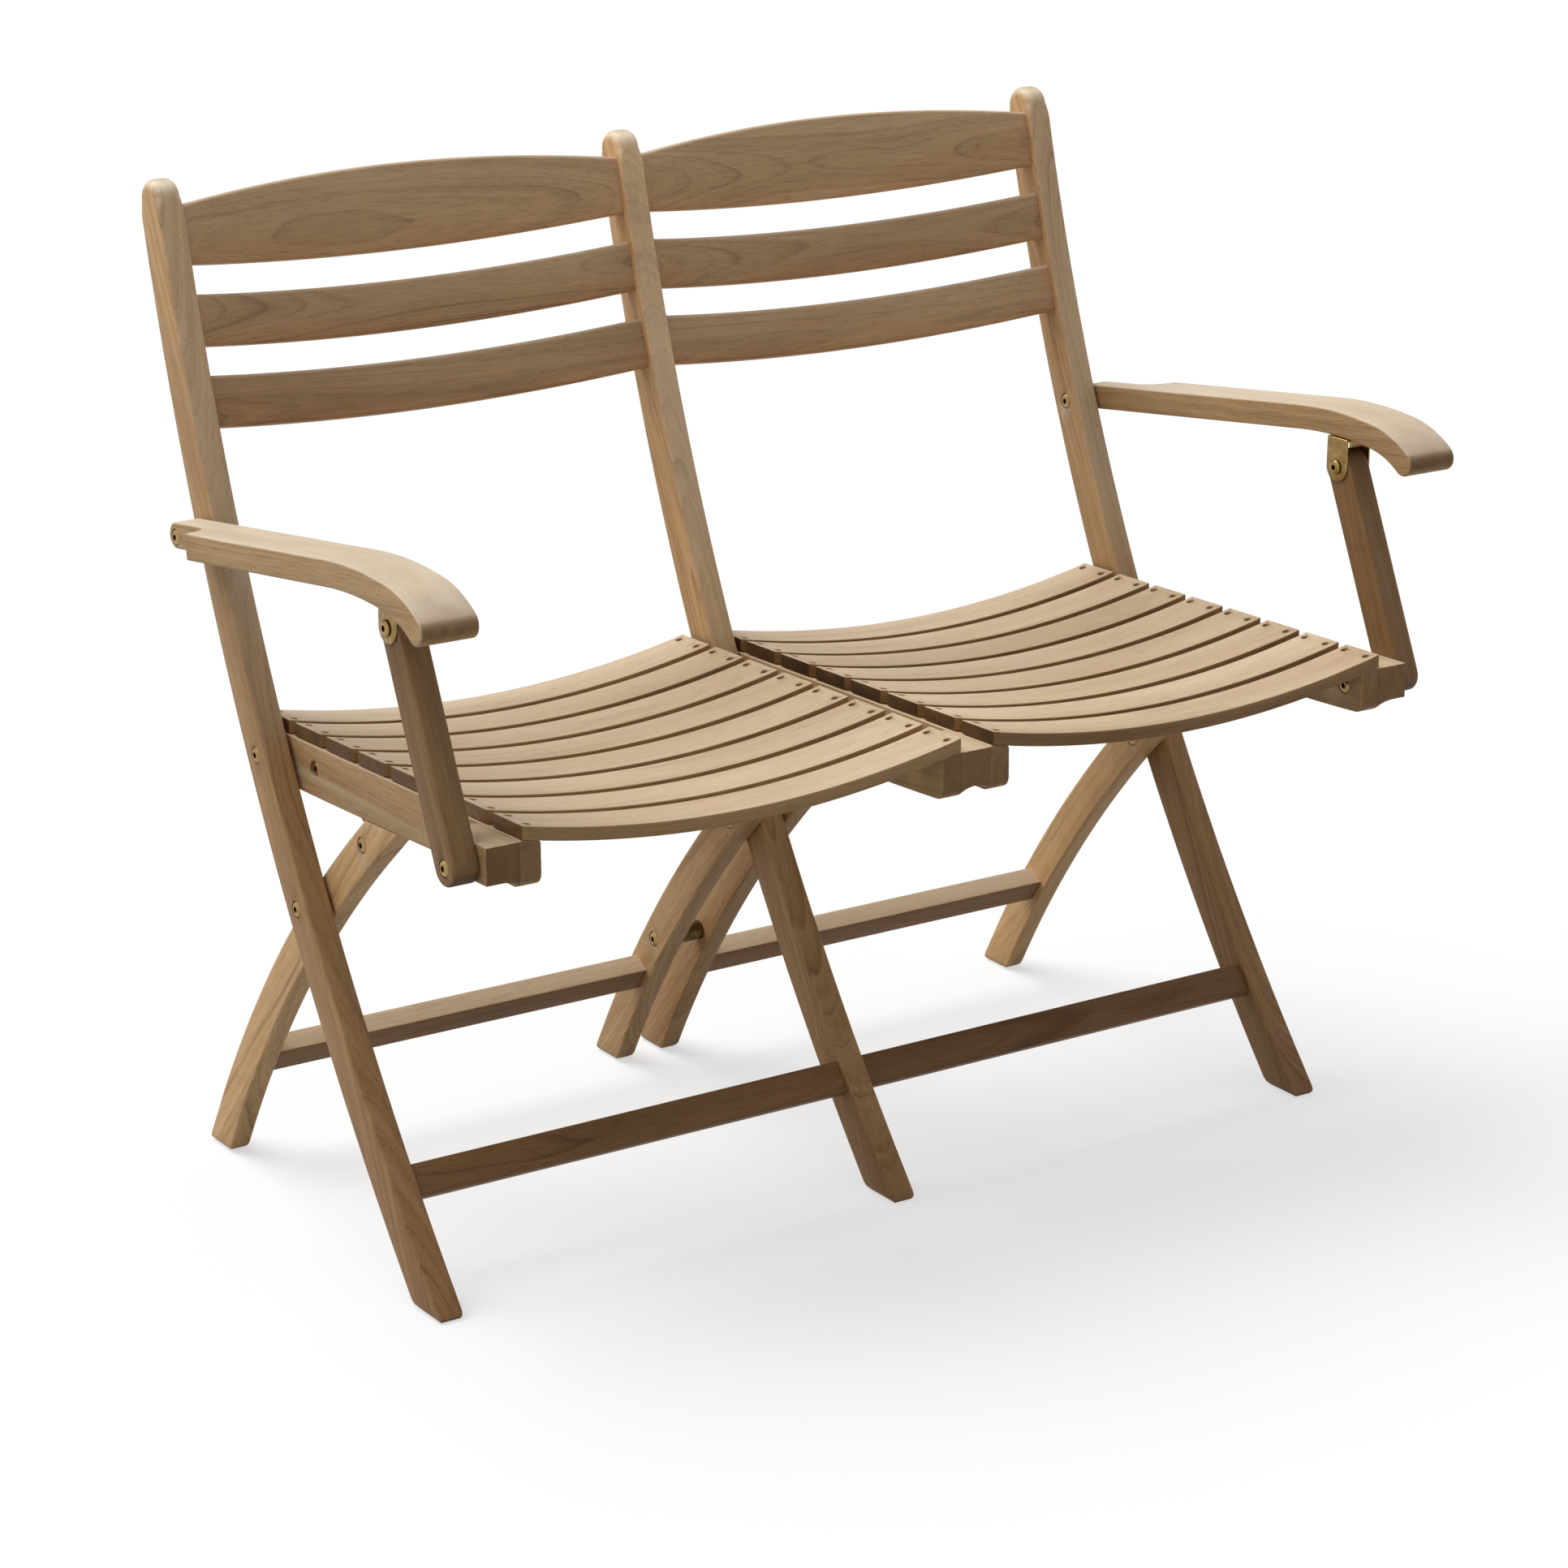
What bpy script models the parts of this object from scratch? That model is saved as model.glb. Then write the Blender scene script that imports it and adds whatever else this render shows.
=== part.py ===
"""Folding two-seat garden bench in slatted hardwood, with brass pivots.

Metres, +Z up, front towards -Y. X runs along the bench, and the floor is z = 0.
Points of the side view are (y, z) pairs.

Three curved posts stand in front and lean back to carry the back slats. The seat turns on them at the seat
pivot. The rear legs turn on them at the leg pivot, and a link ties each leg's top to its seat rail. The arms
turn on the posts at the arm pivot, and slanting supports join them to the front of the seat, so that seat,
support, arm and post make a parallelogram, and everything folds flat against the posts.
"""
import math
from collections import namedtuple

import bmesh
import bpy
from mathutils import Vector

# Clearances
GAP = 0.0003
PIVOT_GAP = 0.003
BORE_CLEARANCE = 0.0004
HEAD_CLEARANCE = 0.0006
CUTTER_REACH = 0.006

# Posts
HEIGHT = 0.890
POST_SPACING = 0.4693
POST_THICKNESS = 0.025
POST_DEPTH = 0.035
POST_ARRIS = 0.003
POST_ARC_RADIUS = 2.174
POST_FOOT_Y = -0.1853
POST_TOP_Y = 0.2790

# Pivots on the posts' centre line
SEAT_PIVOT_HEIGHT = 0.419
LEG_PIVOT_HEIGHT = 0.2985
ARM_PIVOT_BELOW_TOP = 0.292

# Front stretchers
FRONT_STRETCHER_HEIGHT = 0.0927
FRONT_STRETCHER_WIDTH = 0.030
FRONT_STRETCHER_THICKNESS = 0.012
FRONT_STRETCHER_SETBACK = 0.0045

# Back slats
BACK_TOP_DROP = 0.0235
BACK_TOP_SLAT_WIDTH = 0.052
BACK_SLAT_WIDTH = 0.045
BACK_SLAT_SPACE = 0.026
BACK_SLAT_THICKNESS = 0.017
BACK_SLAT_SETBACK = 0.0055
BACK_TOP_ARCH = 0.017
BACK_SAG = 0.008
BACK_BOW = 0.012
BACK_SLAT_ARRIS = 0.0015

# Tenons of the stretchers and back slats
TENON_LENGTH = 0.010
TENON_SHOULDER = 0.0025
TENON_ARRIS = 0.001
STRETCHER_ARRIS = 0.0025

# Seat, measured along its own slope from the seat pivot
SEAT_RISE = math.radians(2.22)
SEAT_DEPTH = 0.4298
SEAT_BEHIND_PIVOT = 0.0372
SLAT_COUNT = 8
SLAT_WIDTH = 0.0452
SLAT_THICKNESS = 0.012
SLAT_DISH = 0.0235
SLAT_SETBACK = 0.0015
SLAT_ARRIS = 0.0012
RAIL_THICKNESS = 0.020
RAIL_TOP = 0.0162
RAIL_DEPTH = 0.0463
RAIL_FRONT_TAPER = 0.0053
RAIL_FRONT_SETBACK = 0.0011
RAIL_FRONT_ROUND = 0.010
RAIL_REAR_LIP = 0.007
RAIL_COVE_SETBACK = 0.004
RAIL_ARRIS = 0.002
BLOCK_LENGTH = 0.065
BLOCK_DROP = 0.0012
BLOCK_DEPTH = 0.0317
BLOCK_COVE_WIDTH = 0.0172

# Rear legs
LEG_THICKNESS = 0.020
LEG_WIDTH = 0.0355
LEG_ARRIS = 0.003
LEG_ARC_RADIUS = 1.2559
LEG_FOOT_Y = 0.2391
LEG_LINE_BEHIND_PIVOT = 0.002
LEG_BOLT_BELOW_TOP = 0.0415
LEG_BOLT_OFF_CENTRE = 0.0034
REAR_STRETCHER_HEIGHT = 0.105
REAR_STRETCHER_WIDTH = 0.026
REAR_STRETCHER_THICKNESS = 0.021
TIE_HEIGHT = 0.1454
TIE_SPACER_RADIUS = 0.009

# Links
LINK_AHEAD_OF_PIVOT = 0.053
LINK_BELOW_PIVOT = 0.0046
LINK_WIDTH = 0.018
LINK_THICKNESS = 0.003

# Arms, measured along their own length from the arm pivot
ARM_WIDTH = 0.0527
ARM_TONGUE_WIDTH = 0.0257
ARM_THICKNESS = 0.0232
ARM_RISE = math.radians(8.25)
ARM_ABOVE_PIVOT = 0.0015
ARM_SHOULDER_AHEAD = 0.0453
ARM_BEND_BEHIND_SUPPORT = 0.0541
ARM_BEND_RADIUS = 0.42
ARM_BEND_LENGTH = 0.100
ARM_NOSE_RADIUS = 0.095
ARM_NOSE_LENGTH = 0.048
ARM_ARRIS = 0.002

# Arm supports and their brackets
SUPPORT_BEHIND_FRONT = 0.0244
SUPPORT_BELOW_PIVOT = 0.0032
SUPPORT_THICKNESS = 0.0247
SUPPORT_WIDTH = 0.031
SUPPORT_STANDOFF = 0.001
SUPPORT_ARRIS = 0.003
BRACKET_WIDTH = 0.027
BRACKET_PLATE = 0.002

# Bolts and washers
SHANK_RADIUS = 0.003
HEAD_RADIUS = 0.007
HEAD_RIM = 0.0015
HEAD_CROWN = 0.0012
HEAD_CROWN_RADIUS = 0.0045
HEAD_SUNK = 0.0018
LINK_HEAD_SUNK = 0.004
WASHER_RADIUS = 0.009

# Facets
ROUND_SIDES = 10
POST_STEPS = 10
LEG_STEPS = 6
ROUND_END_STEPS = 6
QUARTER_STEPS = 4
RAIL_STEPS = 5
BEND_STEPS = 4
FIRST_ROUND_STEP = 0.6
SLAT_STATIONS = 8
BACK_STATIONS = 8
SMOOTH_ANGLE = math.radians(35)

# Colours and finish
POST_COLOUR = (0.43, 0.26, 0.15)
LEG_COLOUR = (0.40, 0.24, 0.14)
SEAT_COLOUR = (0.50, 0.32, 0.19)
BACK_COLOUR = (0.45, 0.28, 0.16)
ARM_COLOUR = (0.47, 0.30, 0.18)
BRASS_COLOUR = (0.62, 0.46, 0.20)
TIMBER_ROUGHNESS = 0.6
BRASS_ROUGHNESS = 0.32


# Plane geometry of the side view

def arc_centre(start, end, radius):
    """Centre of the arc of this radius from start to end that bends to the left of that way."""
    chord = Vector(end) - Vector(start)
    across = Vector((-chord.y, chord.x)).normalized()
    reach = math.sqrt(radius ** 2 - (chord.length / 2) ** 2)
    return (Vector(start) + Vector(end)) / 2 + across * reach


def direction(angle):
    return Vector((math.cos(angle), math.sin(angle)))


def angle_of(way):
    return math.atan2(way.y, way.x)


def angle_at_height(centre, radius, height):
    """Angle about the centre of the circle's rear point at this height."""
    return math.asin((height - centre.y) / radius)


def arc_points(centre, radius, start_angle, end_angle, steps):
    """Points along an arc, both ends among them."""
    turn = (end_angle - start_angle) / steps
    return [centre + direction(start_angle + turn * step) * radius for step in range(steps + 1)]


def first_crossing(centre, radius, point, way):
    """Where a line through a point first crosses a circle, going this way."""
    along = (centre - point).dot(way)
    off = (centre - point - way * along).length
    return point + way * (along - math.sqrt(radius ** 2 - off ** 2))


def stadium(start, end, radius):
    """Outline of a bar with round ends about two points."""
    angle = angle_of(end - start)
    quarter = math.pi / 2
    start_end = arc_points(start, radius, angle + quarter, angle + 3 * quarter, ROUND_END_STEPS)
    far_end = arc_points(end, radius, angle - quarter, angle + quarter, ROUND_END_STEPS)
    return start_end + far_end


# Named places of the side view

POST_CENTRE = arc_centre((POST_FOOT_Y, 0), (POST_TOP_Y, HEIGHT), POST_ARC_RADIUS)


def on_post(height):
    """Point of the posts' centre line at this height."""
    angle = angle_at_height(POST_CENTRE, POST_ARC_RADIUS, height)
    return POST_CENTRE + direction(angle) * POST_ARC_RADIUS


SEAT_PIVOT = on_post(SEAT_PIVOT_HEIGHT)
LEG_PIVOT = on_post(LEG_PIVOT_HEIGHT)
ARM_PIVOT = on_post(HEIGHT - ARM_PIVOT_BELOW_TOP)
LEG_CENTRE = arc_centre((LEG_FOOT_Y, 0), LEG_PIVOT + Vector((LEG_LINE_BEHIND_PIVOT, 0)), LEG_ARC_RADIUS)
SEAT_FORWARD = Vector((-math.cos(SEAT_RISE), math.sin(SEAT_RISE)))
SEAT_UP = Vector((math.sin(SEAT_RISE), math.cos(SEAT_RISE)))
RAIL_FRONT = SEAT_DEPTH - SEAT_BEHIND_PIVOT - RAIL_FRONT_SETBACK
SUPPORT_AHEAD = RAIL_FRONT - SUPPORT_BEHIND_FRONT
ARM_STRAIGHT = SUPPORT_AHEAD - ARM_BEND_BEHIND_SUPPORT


def in_seat(ahead, above):
    """Point of the seat, ahead of and above the seat pivot along the seat's own slope."""
    return SEAT_PIVOT + SEAT_FORWARD * ahead + SEAT_UP * above


def rail_bottom(ahead):
    """Height of the rails' underside over the seat pivot, which rises to the front in one flat curve."""
    return RAIL_TOP - RAIL_DEPTH + RAIL_FRONT_TAPER * (max(ahead, 0) / RAIL_FRONT) ** 2


def leg_top_line():
    """A point and the forward way of the line along the rails' underside on which the legs' tops end."""
    level = first_crossing(LEG_CENTRE, LEG_ARC_RADIUS, in_seat(0, rail_bottom(0)), SEAT_FORWARD)
    ahead = (level - SEAT_PIVOT).dot(SEAT_FORWARD)
    slope = 2 * RAIL_FRONT_TAPER * ahead / RAIL_FRONT ** 2
    way = (SEAT_FORWARD + SEAT_UP * slope).normalized()
    return in_seat(ahead, rail_bottom(ahead) - GAP), way


def leg_bolt_place():
    """The bolt through a leg's top, which carries the link's lower end."""
    top = first_crossing(LEG_CENTRE, LEG_ARC_RADIUS, *leg_top_line())
    angle = angle_of(top - LEG_CENTRE) - LEG_BOLT_BELOW_TOP / LEG_ARC_RADIUS
    return LEG_CENTRE + direction(angle) * (LEG_ARC_RADIUS + LEG_BOLT_OFF_CENTRE)


LEG_BOLT = leg_bolt_place()
TIE_ANGLE = angle_at_height(LEG_CENTRE, LEG_ARC_RADIUS, TIE_HEIGHT)
TIE_BOLT = LEG_CENTRE + direction(TIE_ANGLE) * LEG_ARC_RADIUS
LINK_PIVOT = in_seat(LINK_AHEAD_OF_PIVOT, -LINK_BELOW_PIVOT)
SUPPORT_PIVOT = in_seat(SUPPORT_AHEAD, -SUPPORT_BELOW_PIVOT)
BRACKET_PIVOT = SUPPORT_PIVOT + ARM_PIVOT - SEAT_PIVOT
FRAME_ORIGIN = Vector((0, 0))

# Named places along the bench, from its middle

POST_HALF = POST_THICKNESS / 2
POST_OUTER_FACE = POST_SPACING + POST_HALF
POST_INNER_FACE = POST_SPACING - POST_HALF
BAY_INNER = POST_HALF + PIVOT_GAP
BAY_OUTER = POST_INNER_FACE - PIVOT_GAP
LINK_FACE = max(RAIL_THICKNESS, LEG_THICKNESS) + GAP
ARM_INNER = POST_OUTER_FACE + PIVOT_GAP
SUPPORT_INNER = ARM_INNER + SUPPORT_STANDOFF
SUPPORT_OUTER = SUPPORT_INNER + SUPPORT_THICKNESS
BRACKET_INNER = SUPPORT_INNER - GAP - BRACKET_PLATE
BRACKET_OUTER = SUPPORT_OUTER + GAP + BRACKET_PLATE

SIDES = {"left": -1, "right": 1}

# Where each rail, leg and link stands, and the way it reaches into its bay from there
BAY_PLANES = {
    "left_outer": (-BAY_OUTER, 1),
    "left_inner": (-BAY_INNER, -1),
    "right_inner": (BAY_INNER, 1),
    "right_outer": (BAY_OUTER, -1),
}


def bay_rise(x, start, end):
    """One in the middle between two places and nothing at them, along a flat curve."""
    middle = (start + end) / 2
    return max(0, 1 - ((abs(x) - middle) / (end - middle)) ** 2)


def slat_drop(x):
    """How far the dished seat lies below its ends at this place along the bench."""
    return SLAT_DISH * bay_rise(x, BAY_INNER + SLAT_SETBACK, BAY_OUTER - SLAT_SETBACK)


# Materials and objects

def finish(name, colour, roughness, metallic):
    """A plain material of one colour for one object."""
    material = bpy.data.materials.new(name + "_finish")
    material.use_nodes = True
    shader = material.node_tree.nodes["Principled BSDF"]
    shader.inputs["Base Color"].default_value = (*colour, 1)
    shader.inputs["Roughness"].default_value = roughness
    shader.inputs["Metallic"].default_value = metallic
    material.diffuse_color = (*colour, 1)
    return material


def object_from(name, work, pivot):
    """Turns a bmesh into an object whose origin is a side-view point on its joint's axis."""
    bmesh.ops.recalc_face_normals(work, faces=work.faces)
    origin = Vector((0, pivot.x, pivot.y))
    bmesh.ops.translate(work, verts=work.verts, vec=-origin)
    mesh = bpy.data.meshes.new(name)
    work.to_mesh(mesh)
    work.free()
    mesh.shade_smooth()
    mesh.set_sharp_from_angle(angle=SMOOTH_ANGLE)
    thing = bpy.data.objects.new(name, mesh)
    thing.location = origin
    bpy.context.collection.objects.link(thing)
    return thing


def timber(name, work, pivot, colour, arris=0, segments=2):
    """A wooden piece, with the arrises that its mesh marks rounded."""
    thing = object_from(name, work, pivot)
    thing.data.materials.append(finish(name, colour, TIMBER_ROUGHNESS, 0))
    if arris:
        bevel = thing.modifiers.new("arrises", "BEVEL")
        bevel.width = arris
        bevel.segments = segments
        bevel.limit_method = "WEIGHT"
    return thing


def brass(name, work, pivot):
    """A brass piece, or a group of like ones."""
    thing = object_from(name, work, pivot)
    thing.data.materials.append(finish(name, BRASS_COLOUR, BRASS_ROUGHNESS, 1))
    return thing


def combine(thing, work, operation):
    """Changes an object by the solids of a bmesh, which stay as a hidden guide."""
    guide = object_from(f"{thing.name}_{operation.lower()}", work, FRAME_ORIGIN)
    guide.hide_render = True
    guide.display_type = "WIRE"
    boolean = thing.modifiers.new(operation.lower(), "BOOLEAN")
    boolean.operation = operation
    boolean.solver = "EXACT"
    boolean.object = guide


def cut(thing, work):
    combine(thing, work, "DIFFERENCE")


def fuse(thing, work):
    combine(thing, work, "UNION")


# Solids

def join_loops(work, first, second):
    """Faces between two loops of as many vertices."""
    for index in range(len(first)):
        after = (index + 1) % len(first)
        work.faces.new((first[index], first[after], second[after], second[index]))


def add_loft(work, rings):
    """A closed solid through rings of as many points, capped at both ends; returns the loops."""
    loops = [[work.verts.new(point) for point in ring] for ring in rings]
    for first, second in zip(loops, loops[1:]):
        join_loops(work, first, second)
    work.faces.new(loops[0])
    work.faces.new(loops[-1])
    return loops


def add_board(work, start, end, square_edges=()):
    """A board between two (x, outline) pairs; its outline's edges are marked for rounding, but for some."""
    rings = [[(x, point.x, point.y) for point in outline] for x, outline in (start, end)]
    loops = add_loft(work, rings)
    weights = work.edges.layers.float.new("bevel_weight_edge")
    for loop in loops:
        square = [index % len(loop) for index in square_edges]
        for index, vert in enumerate(loop):
            if index not in square:
                work.edges.get((vert, loop[(index + 1) % len(loop)]))[weights] = 1


def circle_ring(x, radius, place):
    """Points of a circle about the line along X through a side-view point."""
    points = arc_points(place, radius, 0, 2 * math.pi, ROUND_SIDES)[:-1]
    return [(x, point.x, point.y) for point in points]


def add_turned(work, profile, place):
    """A solid turned about the line along X through a point; profile is (x, radius) pairs."""
    add_loft(work, [circle_ring(x, radius, place) for x, radius in profile])


def section_ring(x, centre, along, across, half_along, half_across, arris):
    """A rectangle with cut corners, across a board at one x, its sides along two side-view ways."""
    ring = []
    for sign_along, sign_across in ((1, 1), (-1, 1), (-1, -1), (1, -1)):
        on_end = along * half_along * sign_along + across * (half_across - arris) * sign_across
        on_side = along * (half_along - arris) * sign_along + across * half_across * sign_across
        pair = (on_end, on_side) if sign_along == sign_across else (on_side, on_end)
        for offset in pair:
            point = centre + offset
            ring.append((x, point.x, point.y))
    return ring


def moved(ring, shift):
    return [(x + shift, y, z) for x, y, z in ring]


def mortise_reach(way):
    """Where a mortise starts outside the shoulder and ends past the tenon, going this way."""
    return -way * CUTTER_REACH, way * (TENON_LENGTH + 2 * GAP)


# Boards that are tenoned into curved pieces

Place = namedtuple("Place", "centre along across width thickness")


def place_on_arc(centre, radius, angle, offset, width, thickness):
    """A board's place on a curved piece: offset is from the piece's centre line, away from the arc's centre."""
    across = direction(angle)
    along = Vector((-across.y, across.x))
    return Place(centre + across * (radius + offset), along, across, width, thickness)


def tenon_ring(x, place, clearance=0):
    half_along = place.width / 2 - TENON_SHOULDER + clearance
    half_across = place.thickness / 2 - TENON_SHOULDER + clearance
    return section_ring(x, place.centre, place.along, place.across, half_along, half_across, TENON_ARRIS)


def add_tenoned_board(work, x_start, x_end, place, rings):
    """A board with a tenon beyond each shoulder; rings are its sections from shoulder to shoulder."""
    way = math.copysign(TENON_LENGTH, x_end - x_start)
    start = tenon_ring(x_start, place)
    end = tenon_ring(x_end, place)
    add_loft(work, [moved(start, -way), start, *rings, end, moved(end, way)])


def add_mortise(work, face, way, place):
    """The cutter of a mortise in a face, sunk this way along X."""
    outside, inside = mortise_reach(way)
    add_loft(work, [tenon_ring(face + outside, place, GAP), tenon_ring(face + inside, place, GAP)])


def straight_board(x_start, x_end, place):
    """A straight stretcher between two shoulders."""
    work = bmesh.new()
    half_along = place.width / 2
    half_across = place.thickness / 2
    sections = []
    for x in (x_start, x_end):
        ring = section_ring(
            x, place.centre, place.along, place.across, half_along, half_across, STRETCHER_ARRIS)
        sections.append(ring)
    add_tenoned_board(work, x_start, x_end, place, sections)
    return work


def front_stretcher_place():
    offset = FRONT_STRETCHER_SETBACK + (FRONT_STRETCHER_THICKNESS - POST_DEPTH) / 2
    radius = POST_ARC_RADIUS + offset
    angle = angle_at_height(POST_CENTRE, radius, FRONT_STRETCHER_HEIGHT)
    return place_on_arc(
        POST_CENTRE, POST_ARC_RADIUS, angle, offset, FRONT_STRETCHER_WIDTH, FRONT_STRETCHER_THICKNESS)


def rear_stretcher_place():
    angle = angle_at_height(LEG_CENTRE, LEG_ARC_RADIUS, REAR_STRETCHER_HEIGHT)
    return place_on_arc(LEG_CENTRE, LEG_ARC_RADIUS, angle, 0, REAR_STRETCHER_WIDTH, REAR_STRETCHER_THICKNESS)


def back_slat_places():
    """The places of the back slats on the posts, by level, from the top down."""
    offset = BACK_SLAT_SETBACK + (BACK_SLAT_THICKNESS - POST_DEPTH) / 2
    radius = POST_ARC_RADIUS + offset
    top = angle_at_height(POST_CENTRE, radius, HEIGHT - BACK_TOP_DROP)
    widths = {"top": BACK_TOP_SLAT_WIDTH, "middle": BACK_SLAT_WIDTH, "bottom": BACK_SLAT_WIDTH}
    places = {}
    for level, width in widths.items():
        angle = top - width / 2 / radius
        places[level] = place_on_arc(
            POST_CENTRE, POST_ARC_RADIUS, angle, offset, width, BACK_SLAT_THICKNESS)
        top -= (width + BACK_SLAT_SPACE) / radius
    return places


def back_slat_ring(x, level, place):
    """Section of a back slat: its edges sag, the top one's upper edge is arched, and all bow to the rear."""
    rise = bay_rise(x, POST_HALF, POST_INNER_FACE)
    lower = -BACK_SAG * rise
    upper = BACK_TOP_ARCH * rise if level == "top" else lower
    centre = place.centre + place.along * (upper + lower) / 2 + place.across * BACK_BOW * rise
    half_along = (place.width + upper - lower) / 2
    return section_ring(
        x, centre, place.along, place.across, half_along, place.thickness / 2, BACK_SLAT_ARRIS)


# Bolts and their bores

def head_profile(face, into, sunk):
    """A domed head on a face, sunk in it by some depth; into is the way along X into the wood."""
    seat = face + into * (sunk - GAP)
    rim = seat - into * HEAD_RIM
    crown = rim - into * HEAD_CROWN
    return [(crown, HEAD_CROWN_RADIUS), (rim, HEAD_RADIUS), (seat, HEAD_RADIUS), (seat, SHANK_RADIUS)]


def add_bolt(work, place, start_face, end_face, sunk=(HEAD_SUNK, HEAD_SUNK), collars=()):
    """A bolt with its sleeve nut, a domed head at each end, and the washers or spacer on it as collars.

    Each collar is its start, its end and its radius, in order along the bolt.
    """
    into = math.copysign(1, end_face - start_face)
    profile = head_profile(start_face, into, sunk[0])
    for start, end, radius in collars:
        profile += [(start, SHANK_RADIUS), (start, radius), (end, radius), (end, SHANK_RADIUS)]
    profile += reversed(head_profile(end_face, -into, sunk[1]))
    add_turned(work, profile, place)


def add_stud_bolt(work, place, start_face, end_face):
    """A bolt with one head whose plain end is flush with the far face."""
    into = math.copysign(1, end_face - start_face)
    add_turned(work, [*head_profile(start_face, into, HEAD_SUNK), (end_face, SHANK_RADIUS)], place)


def bore_end(face, into, sunk):
    """One end of a bore's cutter: plain, or with a seat for a head sunk by some depth."""
    outside = face - into * CUTTER_REACH
    bore = SHANK_RADIUS + BORE_CLEARANCE
    if sunk is None:
        return [(outside, bore)]
    seat = HEAD_RADIUS + HEAD_CLEARANCE
    return [(outside, seat), (face + into * sunk, seat), (face + into * sunk, bore)]


def add_bore(work, place, start_face, end_face, start_sunk=None, end_sunk=None):
    """The cutter of a bolt's hole from face to face, with seats for the heads."""
    into = math.copysign(1, end_face - start_face)
    profile = bore_end(start_face, into, start_sunk)
    profile += reversed(bore_end(end_face, -into, end_sunk))
    add_turned(work, profile, place)


def washer(near, far):
    """A washer between two faces, as a collar."""
    inset = math.copysign(GAP, far - near)
    return near + inset, far - inset, WASHER_RADIUS


# Fixed frame

def post_outline():
    """A post from the floor to its round top, one band of a large arc."""
    half = POST_DEPTH / 2
    top = angle_at_height(POST_CENTRE, POST_ARC_RADIUS, HEIGHT - half)
    crown = POST_CENTRE + direction(top) * POST_ARC_RADIUS
    front_floor = angle_at_height(POST_CENTRE, POST_ARC_RADIUS - half, 0)
    rear_floor = angle_at_height(POST_CENTRE, POST_ARC_RADIUS + half, 0)
    front = arc_points(POST_CENTRE, POST_ARC_RADIUS - half, front_floor, top, POST_STEPS)
    cap = arc_points(crown, half, top + math.pi, top, ROUND_END_STEPS)[1:-1]
    rear = arc_points(POST_CENTRE, POST_ARC_RADIUS + half, top, rear_floor, POST_STEPS)
    return front + cap + rear


def make_post(name, x, side):
    """A post; side is -1 or 1 for an end post and 0 for the middle one."""
    work = bmesh.new()
    outline = post_outline()
    floor_edge = (-1,)
    add_board(work, (x - POST_HALF, outline), (x + POST_HALF, outline), floor_edge)
    post = timber(name, work, FRAME_ORIGIN, POST_COLOUR, POST_ARRIS)
    cutters = bmesh.new()
    outer_face = x + (side or 1) * POST_HALF
    inner_face = x - (side or 1) * POST_HALF
    head = HEAD_SUNK if side else None
    for pivot in (SEAT_PIVOT, LEG_PIVOT):
        add_bore(cutters, pivot, outer_face, inner_face, start_sunk=head)
    if side:
        add_bore(cutters, ARM_PIVOT, outer_face, inner_face, end_sunk=head)
    bay_faces = [(inner_face, side)] if side else [(inner_face, 1), (outer_face, -1)]
    for face, into in bay_faces:
        for place in (front_stretcher_place(), *back_slat_places().values()):
            add_mortise(cutters, face, into, place)
    cut(post, cutters)


def make_front_stretchers():
    for side_name, side in SIDES.items():
        work = straight_board(side * (POST_HALF + GAP), side * (POST_INNER_FACE - GAP), front_stretcher_place())
        timber(side_name + "_front_stretcher", work, FRAME_ORIGIN, POST_COLOUR)


def make_back_slats():
    start = POST_HALF + GAP
    end = POST_INNER_FACE - GAP
    for side_name, side in SIDES.items():
        for level, place in back_slat_places().items():
            work = bmesh.new()
            rings = []
            for step in range(BACK_STATIONS + 1):
                x = side * (start + (end - start) * step / BACK_STATIONS)
                rings.append(back_slat_ring(x, level, place))
            add_tenoned_board(work, side * start, side * end, place, rings)
            timber(f"{side_name}_back_slat_{level}", work, FRAME_ORIGIN, BACK_COLOUR)


def make_pivot_bolts(kind, place, thickness):
    """The bolts on which the rails or the legs turn, one in each post, with washers beside the post."""
    for side_name, side in SIDES.items():
        work = bmesh.new()
        collars = [washer(side * POST_INNER_FACE, side * BAY_OUTER)]
        add_bolt(work, place, side * POST_OUTER_FACE, side * (BAY_OUTER - thickness), collars=collars)
        brass(f"{side_name}_{kind}_pivot_bolt", work, FRAME_ORIGIN)
    work = bmesh.new()
    reach = BAY_INNER + thickness
    collars = [washer(-BAY_INNER, -POST_HALF), washer(POST_HALF, BAY_INNER)]
    add_bolt(work, place, -reach, reach, collars=collars)
    brass(f"middle_{kind}_pivot_bolt", work, FRAME_ORIGIN)


def make_arm_pivot_bolts():
    for side_name, side in SIDES.items():
        work = bmesh.new()
        collars = [washer(side * POST_OUTER_FACE, side * ARM_INNER)]
        add_bolt(
            work, ARM_PIVOT, side * POST_INNER_FACE, side * (ARM_INNER + ARM_TONGUE_WIDTH), collars=collars)
        brass(side_name + "_arm_pivot_bolt", work, FRAME_ORIGIN)


# Seat

def front_rounding():
    """The seat's round lower front corner from the front backwards, as (ahead, lowest height) pairs."""
    steps = []
    for step in range(QUARTER_STEPS + 1):
        angle = math.pi / 2 * step / QUARTER_STEPS
        ahead = RAIL_FRONT - RAIL_FRONT_ROUND * (1 - math.cos(angle))
        steps.append((ahead, rail_bottom(RAIL_FRONT) + RAIL_FRONT_ROUND * (1 - math.sin(angle))))
    return steps


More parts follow.
